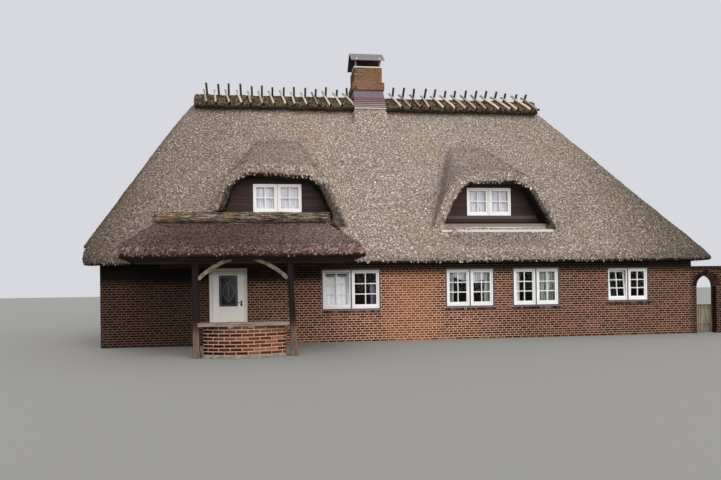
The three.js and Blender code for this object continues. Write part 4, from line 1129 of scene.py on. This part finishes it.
# %% Casements
FIXED_RAILS, SASH_RAILS = (0.04, 0.04, 0.045, 0.04), (0.043, 0.043, 0.064, 0.043)
SASH_GAP, PANE_LAP = 0.002, 0.004


def casement_window(name, opening, turn, glass, rows=3, trim=0.037, post=0.032, tilted=False):
    """Two sashes in their frames; tilted is for the left one."""
    wood, edging, panes = Batch(), Batch(), Batch()
    inner = opening
    middle = (opening[0] + opening[1]) / 2
    if trim:
        inner = frame_boxes(edging, opening, (trim,) * 4, (0.008, 0.088), turn)
        edging.box((middle - post / 2, 0.01, inner[2]), (middle + post / 2, 0.086, inner[3]), 0.003, turn)
        edging.make(f"{name}_trim", blue_trim)
    for side, (u0, u1) in enumerate([(inner[0], middle - post / 2), (middle + post / 2, inner[1])]):
        hole = frame_boxes(wood, (u0, u1, inner[2], inner[3]), FIXED_RAILS, (0.018, 0.088), turn)
        lean = tipped(turn, hole[2]) if tilted and side == 0 else turn
        sash = (hole[0] + SASH_GAP, hole[1] - SASH_GAP, hole[2] + SASH_GAP, hole[3] - SASH_GAP)
        a0, a1, b0, b1 = frame_boxes(wood, sash, SASH_RAILS, (0.03, 0.075), lean, 0.006)
        wood.box(((a0 + a1) / 2 - BAR / 2, 0.036, b0), ((a0 + a1) / 2 + BAR / 2, 0.066, b1), 0.005, lean)
        for row in range(1, rows):
            z = b0 + (b1 - b0) * row / rows
            wood.box((a0, 0.0365, z - BAR / 2), (a1, 0.0655, z + BAR / 2), 0.005, lean)
        panes.box((a0 - PANE_LAP, 0.05, b0 - PANE_LAP), (a1 + PANE_LAP, 0.054, b1 + PANE_LAP), 0.001, lean)
    wood.make(f"{name}_joinery", white_paint, "white_paint", [name])
    panes.make(f"{name}_panes", pane_finish, "window_glass", glass)


print("rails of a sash", SASH_RAILS)

# %% The windows
DORMER_WINDOWS = {"dormer_left": (-4.32, -3.0, 3.56, 4.34), "dormer_right": (1.715, 3.015, 3.475, 4.27)}
at_dormer = outside(0, -3.685)
for name, (*opening, turn) in WINDOWS.items():
    casement_window(name, opening, turn, [f"{name}_glass"] if turn is at_front else [],
                    tilted=name in ("window_1", "window_4"))
for side, opening in DORMER_WINDOWS.items():
    casement_window(f"{side}_window", opening, at_dormer, [f"{side}_glass"], 2, 0.0, 0.01)
print("windows made")

# %% [markdown]
# Net curtains hang behind some of the panes. Each is a gathered sheet two millimetres thick on a thin rail.
# The first window has a white sheet fastened at three points, whose top sags between them.

# %% A gathered sheet
ROWS, THICK, RAIL_THICK = 8, 0.002, 0.012


def net_finish(name, light, dark, **sockets):
    net = Finish(name, roughness=0.95, specular_ior_level=0.1, **sockets)
    # The darker stripes are painted shade in fine folds of the cloth.
    net.set(base_color=net.mix(net.spread(net.grain((30.0, 8.0, 1.2), 3.0, 0.5), 0.36, 0.64), dark, light))
    return net


white_cloth = net_finish("white_cloth", (250, 251, 255), (240, 243, 250), sheen_weight=0.6)
lilac_cloth = net_finish("lilac_cloth", (150, 140, 162), (96, 86, 110))
net_cloth = net_finish("net_cloth", (236, 237, 242), (200, 202, 212))
dull_cloth = net_finish("dull_cloth", (206, 212, 208), (122, 130, 124), alpha=0.9)
rails = Batch()


def hang_cloth(name, span, top, bottom, folds, finish, depth=0.16, swing=0.016, sag=0.0, rise=0.0,
               turn=at_front):
    """A gathered sheet; sag dips its top between three points, and rise lifts its hem towards the left."""
    columns = max(8 * folds, 24)
    phase = chance.uniform(0, 6)
    fronts, backs = [], []
    for row in range(ROWS + 1):
        v = row / ROWS
        for column in range(columns + 1):
            u = column / columns
            head = top - sag * abs(math.sin(2 * math.pi * u)) ** 0.8
            hem = bottom + rise * (1 - u) ** 1.5
            wave = math.sin(2 * math.pi * folds * u + phase + 0.5 * math.sin(3 * v + phase))
            x = span[0] + (span[1] - span[0]) * u
            y = depth + swing * (0.55 + 0.6 * v) * (wave + 0.3 * math.sin(5.1 * folds * u))
            z = head + (hem - head) * v
            fronts.append(turn @ Vector((x, y, z)))
            backs.append(turn @ Vector((x, y + THICK, z)))
    wide, half = columns + 1, len(fronts)
    grid = np.arange(half).reshape(ROWS + 1, wide)
    faces = []
    for a, b, c, d in zip(grid[:-1, :-1].flat, grid[1:, :-1].flat, grid[1:, 1:].flat, grid[:-1, 1:].flat):
        faces += [(a, b, c, d), (a + half, d + half, c + half, b + half)]
    rim = [*grid[0], *grid[1:, -1], *grid[-1, -2::-1], *grid[-2:0:-1, 0]]
    faces += [(a, b, b + half, a + half) for a, b in zip(rim, rim[1:] + rim[:1])]
    mesh = new_mesh(name, [tuple(p) for p in fronts + backs], faces)
    smooth_faces(mesh)
    cloth = place_piece(name, mesh, finish)
    rails.timber([turn @ Vector((x, depth + 0.001, top + 0.004)) for x in (span[0] - 0.03, span[1] + 0.03)],
                 RAIL_THICK, RAIL_THICK, (0, 0, 1))


print("a sheet is", THICK * 1000, "mm thick")

# %% Curtains
hang_cloth("window_1_sheet", (-2.47, -1.755), 1.80, 0.95, 5, white_cloth, depth=0.106, swing=0.008, sag=0.028,
           turn=tipped(at_front, 0.942))
hang_cloth("window_1_side_curtain", (-1.17, -1.03), 1.58, 0.95, 2, lilac_cloth)
hang_cloth("window_2_left_curtain", (0.95, 1.17), 1.88, 0.95, 4, dull_cloth)
hang_cloth("window_2_left_valance", (1.17, 1.54), 1.88, 1.60, 7, net_cloth, rise=0.12)
hang_cloth("window_2_right_valance", (1.64, 2.04), 1.88, 1.62, 7, net_cloth, rise=-0.1)
hang_cloth("window_2_right_curtain", (2.04, 2.24), 1.88, 0.95, 4, dull_cloth)
hang_cloth("window_3_left_curtain", (2.87, 3.08), 1.88, 0.95, 4, net_cloth)
hang_cloth("window_3_right_curtain", (3.55, 4.14), 1.88, 0.95, 9, dull_cloth)
FRAME_IN = 0.06
for name, (left, right, _, _, turn) in WINDOWS.items():
    if turn is not at_front:
        hang_cloth(f"{name}_curtain", (left + FRAME_IN, right - FRAME_IN), 1.89, 0.94, 16, dull_cloth,
                   turn=turn)
for side, span, top, bottom in [("left", (-4.27, -3.05), 4.29, 3.6), ("right", (1.76, 2.97), 4.22, 3.51)]:
    hang_cloth(f"dormer_{side}_curtain", span, top, bottom, 22, net_cloth, depth=0.112, swing=0.008,
               turn=at_dormer)
rails.make("curtain_rails", white_paint)
print("curtains hung")

# %% [markdown]
# The front door is half glass over a sunk panel. The leaded lines on the glass are a border, an upright
# line in a long pointed oval, and two rows of crossing lines at the foot. Everything on the leaf swings
# with it.

# %% The front door
LEAF = (-5.389, -4.561, 0.096, 1.944)
LEAF_RAILS = (0.159, 0.164, 0.154, 0.099)
RAIL_LOW, RAIL_HIGH = 0.88, 1.0
MOULDING = (0.02,) * 4
HINGES = (0.4, 1.6)
LEAD_WIDE, LEAD_DEEP = 0.006, 0.013
leaf = Batch()
l0, l1, l2, l3 = frame_boxes(leaf, LEAF, LEAF_RAILS, (0.08, 0.12), at_front, 0.003)
leaf.box((l0, 0.08, RAIL_LOW), (l1, 0.12, RAIL_HIGH), 0.003, at_front)
leaf.box((l0, 0.094, l2), (l1, 0.106, RAIL_LOW), 0.003, at_front)
frame_boxes(leaf, (l0 - 0.004, l1 + 0.004, l2 - 0.004, 0.884), MOULDING, (0.085, 0.1), at_front, 0.006)
frame_boxes(leaf, (l0 - 0.008, l1 + 0.008, 0.992, l3 + 0.008), MOULDING, (0.074, 0.094), at_front, 0.006)
leaf.box((l0 - 0.03, 0.068, 0.884), (l1 + 0.03, 0.082, 0.902), 0.004, at_front)
for z in HINGES:
    leaf.box((LEAF[0] - 0.004, 0.121, z), (LEAF[0] + 0.09, 0.131, z + 0.04), 0.002, at_front)
leaf.make("front_door_leaf", door_paint, "white_paint", ["front_door"], "front_door")

centre = (l0 + l1) / 2
lead_paths = [[(x, RAIL_HIGH), (x, l3)] for x in (l0 + 0.055, l1 - 0.055)]
lead_paths += [[(l0, z), (l1, z)] for z in (1.05, 1.79)] + [[(centre, 1.16), (centre, 1.60)]]
oval_half = [(0.15 * math.sin(math.pi * t / 12), 1.66 - 0.52 * t / 12) for t in range(13)]
for way in (-1, 1):
    lead_paths.append([(centre + way * u, z) for u, z in oval_half])
    zigzag = [centre + way * u for u in (-0.198, -0.1, 0.0, 0.1, 0.198)]
    for heights in ((1.2, 1.05), (1.05, 1.2)):
        lead_paths.append([(x, heights[i % 2]) for i, x in enumerate(zigzag)])
leads = Batch()
for path in lead_paths:
    leads.timber([(x, FRONT + 0.091, z) for x, z in path], LEAD_WIDE, LEAD_DEEP, (0, 1, 0))
leads.make("front_door_leads", mottled("lead_grey", (88, 94, 122), (136, 142, 170), 20.0, roughness=0.5),
           body="front_door")
door_pane = Finish("door_pane", roughness=0.14, alpha=0.95, specular_ior_level=0.16)
door_pane.set(base_color=door_pane.mix(door_pane.spread(door_pane.noise(5.0, 2.0), 0.45, 0.62),
                                       (6, 8, 11), (22, 33, 17)))
dress(door_pane, "door_glass")
black_iron = mottled("black_iron", (10, 10, 10), (32, 31, 30), 40.0, roughness=0.4, metallic=0.6)
dress(black_iron, "door_handle")
lock = Batch()
lock.box((-4.668, 0.066, 1.02), (-4.618, 0.081, 1.075), 0.004, at_front)
lock.make("front_door_lock", black_iron, "black_iron", body="front_door")

casing = Batch()
frame_boxes(casing, (-5.468, -4.482, 0.002, 2.018), (0.03, 0.03, 0.012, 0.03), (0.05, 0.064), at_front, 0.004)
casing.make("door_frame_bead", door_paint, "white_paint")
dress(door_paint, "door_frame")
print("door made")

# %% [markdown]
# The dormers stand far in under their hoods. Their faces are lapped boards: each board's foot laps over the
# one below it, so every board throws a thin shadow. The boards are dark maroon, and one under the right
# window is greyer. Three pale boards in steps make the right sill.

# %% Dormer boards and sill
DORMER_OUTLINES = {
    "dormer_left": [(-5.13, 3.25), (-5.07, 3.58), (-4.85, 4.25), (-4.44, 4.54), (-2.79, 4.44), (-2.52, 4.21),
                    (-2.19, 3.45), (-2.12, 3.25)],
    "dormer_right": [(0.915, 3.1), (1.0, 3.3), (1.24, 3.86), (1.53, 4.22), (1.67, 4.34), (2.98, 4.36),
                     (3.36, 4.21), (3.65, 3.73), (4.049, 3.1)],
}
BOARD_PITCH, BOARD_LAP, BOARD_OUT = 0.09, 0.012, 0.022
FACE_Y = -3.65


def board_finish(name, stretch, least, more, *stops, **sockets):
    boards = Finish(name, **sockets)
    line = boards.grain(stretch)
    boards.paint(boards.ramp(boards.tone(), *stops), least + line * more)
    boards.bump(line, 0.004, 0.6)
    return boards


def width_at(outline, z):
    """The left and right edge of a dormer's opening at a height."""
    hits = [xa + (xb - xa) * (z - za) / (zb - za) for (xa, za), (xb, zb) in zip(outline, outline[1:])
            if za != zb and min(za, zb) <= z <= max(za, zb)]
    return min(hits), max(hits)


dark_boards = board_finish("dark_boards", (3.0, 20.0, 60.0), 0.6, 0.7, (0.0, (34, 24, 22)),
                           (0.4, (48, 32, 31)), (0.85, (60, 38, 38)), (0.97, (82, 72, 64)),
                           roughness=0.75, specular_ior_level=0.3)
for side, outline in DORMER_OUTLINES.items():
    boards = Batch()
    window = DORMER_WINDOWS[side]
    z, peak = window[2] - 2 * BOARD_PITCH, max(p[1] for p in outline)
    while z < peak - 0.02:
        top = min(z + BOARD_PITCH + BOARD_LAP, peak)
        x0, x1 = width_at(outline, max(min((z + top) / 2, peak - 0.1), outline[0][1] + 0.001))
        grey = side == "dormer_right" and abs(z - window[2] + BOARD_PITCH) < 0.01
        for u0, u1, v0, v1 in clipped((x0 - 0.04, x1 + 0.04, z, top), [window]):
            section = [(FACE_Y - BOARD_OUT + BOARD_LAP * (v - z) / BOARD_PITCH, v) for v in (v0, v1)]
            section += [(FACE_Y + 0.004, v0), (FACE_Y + 0.004, v1)]
            tone = 1.0 if grey else chance.random() * 0.85
            boards.hull([(x, y, v) for x in (u0, u1) for y, v in section], tone)
        z += BOARD_PITCH
    boards.make(f"{side}_boards", dark_boards, "dark_boards")
dress(dark_boards, "dormer_left_face", "dormer_right_face")

pale_boards = board_finish("pale_boards", (2.0, 20.0, 50.0), 0.75, 0.5, (0.0, (124, 116, 112)),
                           (0.5, (200, 192, 186)), (1.0, (204, 196, 188)),
                           roughness=0.85, specular_ior_level=0.2)
steps = Batch()
# Each step's tone, how far in it lies, its foot and its height
SILL_STEPS = [(1.0, 0.13, 2.965, 0.07), (0.5, 0.19, 3.043, 0.073), (0.0, 0.31, 3.126, 0.092)]
for tone, depth, low, tall in SILL_STEPS:
    share = (depth - 0.15) / 0.448
    lean = Matrix.Translation((0, FRONT + depth, low)) @ Matrix.Rotation(math.radians(-8), 4, "X")
    steps.box((0.88 + 0.24 * share, 0.0, 0.0), (4.08 - 0.18 * share, 0.17, tall), 0.006, lean, tone)
steps.box((1.0, FRONT + 0.4, 2.98), (3.9, FACE_Y, 3.16), 0.004, None, 0.0)
steps.make("dormer_right_sill_boards", pale_boards, "pale_boards", ["dormer_right_sill"])
print("dormer boards made")

# %% [markdown]
# The porch stands on two hewn posts, dark above and bleached below where rain reaches them. Curved braces,
# painted a pale olive, carry the beam. A thick plank lies on the low wall between the posts.

# %% Porch timber
def timber_finish(name, dark, light, stretch=(40.0, 40.0, 3.0), bleached=None):
    """Wood with its grain along its length, and bleached at its foot where rain reaches it."""
    wood = Finish(name, roughness=0.85, specular_ior_level=0.2)
    line = wood.grain(stretch)
    base = wood.ramp(line, (0.34, dark), (0.66, light))
    if bleached:
        share = 1.0 - wood.spread(wood.along("Z") + wood.noise(3.0, 2.0) * 0.3, 0.6, 1.0)
        pale = wood.ramp(line, (0.34, tuple(c * 0.7 for c in bleached)), (0.6, bleached))
        base = wood.mix(share * 0.85, base, pale)
    wood.paint(base, 0.85 + wood.tone() * 0.3)
    wood.bump(line, 0.006, 0.7)
    return wood


post_wood = timber_finish("post_wood", (14, 9, 8), (38, 26, 23), bleached=(126, 106, 94))
beam_wood = timber_finish("beam_wood", (38, 27, 22), (72, 52, 42), (3.0, 30.0, 40.0))
brace_wood = timber_finish("brace_paint", (82, 78, 62), (142, 136, 116), (8.0, 8.0, 8.0))
plank_wood = timber_finish("plank_wood", (88, 76, 67), (156, 141, 127), (2.0, 26.0, 30.0))

POST_Y, POST_FOOT, POST_TOP, POST_WIDE = FRONT - 2.8, 0.10, 2.048, 0.136
BRACE_Y, BRACE_WIDE, BRACE_DEEP = -7.08, 0.058, 0.085
PLANK_FOOT = 0.6905
# How far from its post and how high a brace starts, bends and ends
BRACE_CURVE = np.array([[-0.03, 0.3, 0.74], [1.69, 2.03, 2.155]])
# Each post's foot and head, the side of it that its brace leaves, and the way the brace goes
for side, foot_x, head_x, inner, way in [
        ("left", -5.43, -5.43, -5.362, 1), ("right", -3.31, -3.39, -3.452, -1)]:
    post = Batch()
    path = [(foot_x + (head_x - foot_x) * t / 6, POST_Y, POST_FOOT + (POST_TOP - POST_FOOT) * t / 6)
            for t in range(7)]
    post.timber(path, POST_WIDE, POST_WIDE, (1, 0, 0), 0.004, 0.5)
    post.timber([(foot_x, POST_Y, z) for z in (0.0, 0.03, 0.1, 0.13)], 0.17, 0.17, (1, 0, 0), 0.003, 0.7)
    post.make(f"porch_post_{side}_bar", post_wood, "dark_timber", [f"porch_post_{side}"])
    brace = Batch()
    curve = []
    for t in np.linspace(0.03, 0.97, 14):
        u, z = BRACE_CURVE @ ((1 - t) ** 2, 2 * t * (1 - t), t ** 2)
        curve.append((inner + way * u, BRACE_Y, z))
    brace.timber(curve, BRACE_WIDE, BRACE_DEEP, (0, 1, 0), 0.002, 0.6)
    brace.make(f"porch_brace_{side}_bar", brace_wood, "olive_timber", [f"porch_brace_{side}"])
plank = Batch()
plank.box((-5.358, -7.398, PLANK_FOOT), (-3.414, -7.05, 0.768), 0.01, None, 0.6)
for x in (-4.725, -4.3):
    plank.box((x, -7.397, 0.646), (x + 0.11, -7.375, PLANK_FOOT), 0.006, None, 0.3)
plank.make("porch_plank_board", plank_wood, "grey_timber", ["porch_plank"])
dress(beam_wood, "porch_beam", "porch_wall_beam", "porch_ceiling")
print("porch made")

# %% [markdown]
# The stack is laid in soft ochre bricks with moss on them, under a sheet hood on iron legs. A ribbed sheet
# leads rain from the stack on to the thatch: its top is plain and its foot ends in a pale strip.

# %% The chimney
STACK = (-1.085, -0.155, -0.35, 0.75)
STACK_COURSE, STACK_STRETCHER = 0.0625, 0.235
# How far each part of the stack stands out, its foot and its top
STACK_PARTS = [(0.07, 8.03, 8.28), (0.0, 8.285, 8.785)]
stack_bricks = Batch()
for out, low, high in STACK_PARTS:
    x0, x1, y0, y1 = STACK[0] - out, STACK[1] + out, STACK[2] - out, STACK[3] + out
    for corner, along in [((x0, y0), (1, 0)), ((x1, y0), (0, 1)), ((x1, y1), (-1, 0)), ((x0, y1), (0, -1))]:
        lay_wall(stack_bricks, flat_wall(corner, along), x1 - x0 if along[0] else y1 - y0, low, high,
                 course=STACK_COURSE, stretcher=STACK_STRETCHER)
stack_bricks.make("chimney_bricks", stack_brick, "chimney_brick")
dress(mottled("stack_mortar", (104, 86, 66), (152, 128, 100), 12.0, 3.0, roughness=0.95,
              specular_ior_level=0.15), "chimney_stack")
pale_mortar = mottled("pale_mortar", (190, 181, 168), (232, 225, 214), 14.0, 3.0, roughness=0.9)
rim = Batch()
rim.box((STACK[0] - 0.012, STACK[2] - 0.012, 8.79), (STACK[1] + 0.012, STACK[3] + 0.012, 8.829), 0.008)
rim.make("chimney_top_mortar", pale_mortar, "chimney_brick")

metal = Finish("ribbed_sheet", roughness=0.55, metallic=0.15)
metal_base = metal.mix(metal.above("Z", 7.72, 7.84), (120, 88, 92), (96, 82, 92))
metal_base = metal.mix(metal.below("Z", 7.42, 7.74) * 0.55, metal_base, (176, 158, 160))
foot_strip = metal.below("Z", 7.40, 7.42) * metal.below("Y", -0.4, -0.3)
metal_base = metal.mix(foot_strip, metal_base, (186, 178, 170))
metal.paint(metal_base, 0.8 + metal.noise(9.0, 3.0) * 0.4)
dress(metal, "chimney_flashing")
FLASH_TOP, FLASH_FOOT = (-0.38, 8.01), (-0.63, 7.345)
RIBS, FIRST_RIB, RIB_PITCH = 6, 7.40, 0.068
ribs = Batch()
for index in range(RIBS):
    z = FIRST_RIB + index * RIB_PITCH
    up_share = (z - FLASH_FOOT[1]) / (FLASH_TOP[1] - FLASH_FOOT[1])
    y = FLASH_FOOT[0] + (FLASH_TOP[0] - FLASH_FOOT[0]) * up_share
    ribs.timber([(-1.112, y, z), (-0.064 - 0.065 * up_share, y, z)], 0.034, 0.03, (0, 1, 0), 0.0, 0.5)
# The ribs are painted darker than the sheet, as painted shade along them.
ribs.make("chimney_flashing_ribs", mottled("rib_metal", (66, 44, 50), (102, 72, 78), 9.0, 3.0, roughness=0.55,
                                           metallic=0.15), "ribbed_metal")

hood_metal = Finish("hood_metal", roughness=0.6, metallic=0.1)
hood_base = hood_metal.mix(hood_metal.noise(7.0, 3.0), (98, 89, 95), (140, 130, 136))
# Faces that look down are made nearly black.
hood_faces_down = hood_metal.spread(0.0 - hood_metal.along("Z", "Normal"), 0.0, 0.3) * 0.8
hood_metal.set(base_color=hood_metal.mix(hood_faces_down, hood_base, (22, 18, 22)))
dress(hood_metal, "chimney_hood")
fixings = Batch()
for x in (-1.0, -0.24):
    fixings.box((x - 0.035, -0.435, 9.045), (x + 0.035, -0.405, 9.085), 0.01)
fixings.make("chimney_hood_fixings", pale_mortar)
print("chimney made")

# %% [markdown]
# Last come the gate, which keeps its CAD slats and gains a capping rail and nails, and the two floors, of
# which only the lower one can be seen, through the windows.

# %% Gate and floors
dress(timber_finish("gate_wood", (88, 80, 62), (156, 144, 116), (30.0, 30.0, 3.0)), "garden_gate")
SLATS, SLAT_PITCH, SLAT_HALF, GATE_LEFT = 5, 0.128, 0.048, 8.373
NAIL_HALF, NAIL_HEIGHTS = 0.005, (0.225, 0.735)
gate = Batch()
gate.box((8.375, -4.054, 0.79), (8.979, -3.996, 0.819), 0.005, None, 0.0)
for index in range(SLATS):
    slat = GATE_LEFT + SLAT_PITCH * index + SLAT_HALF
    for z in NAIL_HEIGHTS:
        for x in (slat - 0.025, slat + 0.025):
            gate.box((x - NAIL_HALF, -4.054, z - NAIL_HALF), (x + NAIL_HALF, -4.048, z + NAIL_HALF), 0.001,
                     None, 0.0)
gate.make("garden_gate_cap", timber_finish("gate_rail", (52, 46, 38), (84, 74, 60)), "grey_timber",
          body="garden_gate")
floor_tiles = Finish("floor_tiles", roughness=0.6)
floor_tiles.set(base_color=floor_tiles.node("TexBrick", {"offset": 0.0}, {
    "Vector": floor_tiles.place(), "Scale": 1.0, "Brick Width": 0.3, "Row Height": 0.3, "Mortar Size": 0.006,
    "Color1": linear((128, 118, 106)), "Color2": linear((140, 130, 116)), "Mortar": linear((86, 80, 72))}))
dress(floor_tiles, "ground_floor")
dress(beam_wood, "attic_floor")
print("gate and floors made")
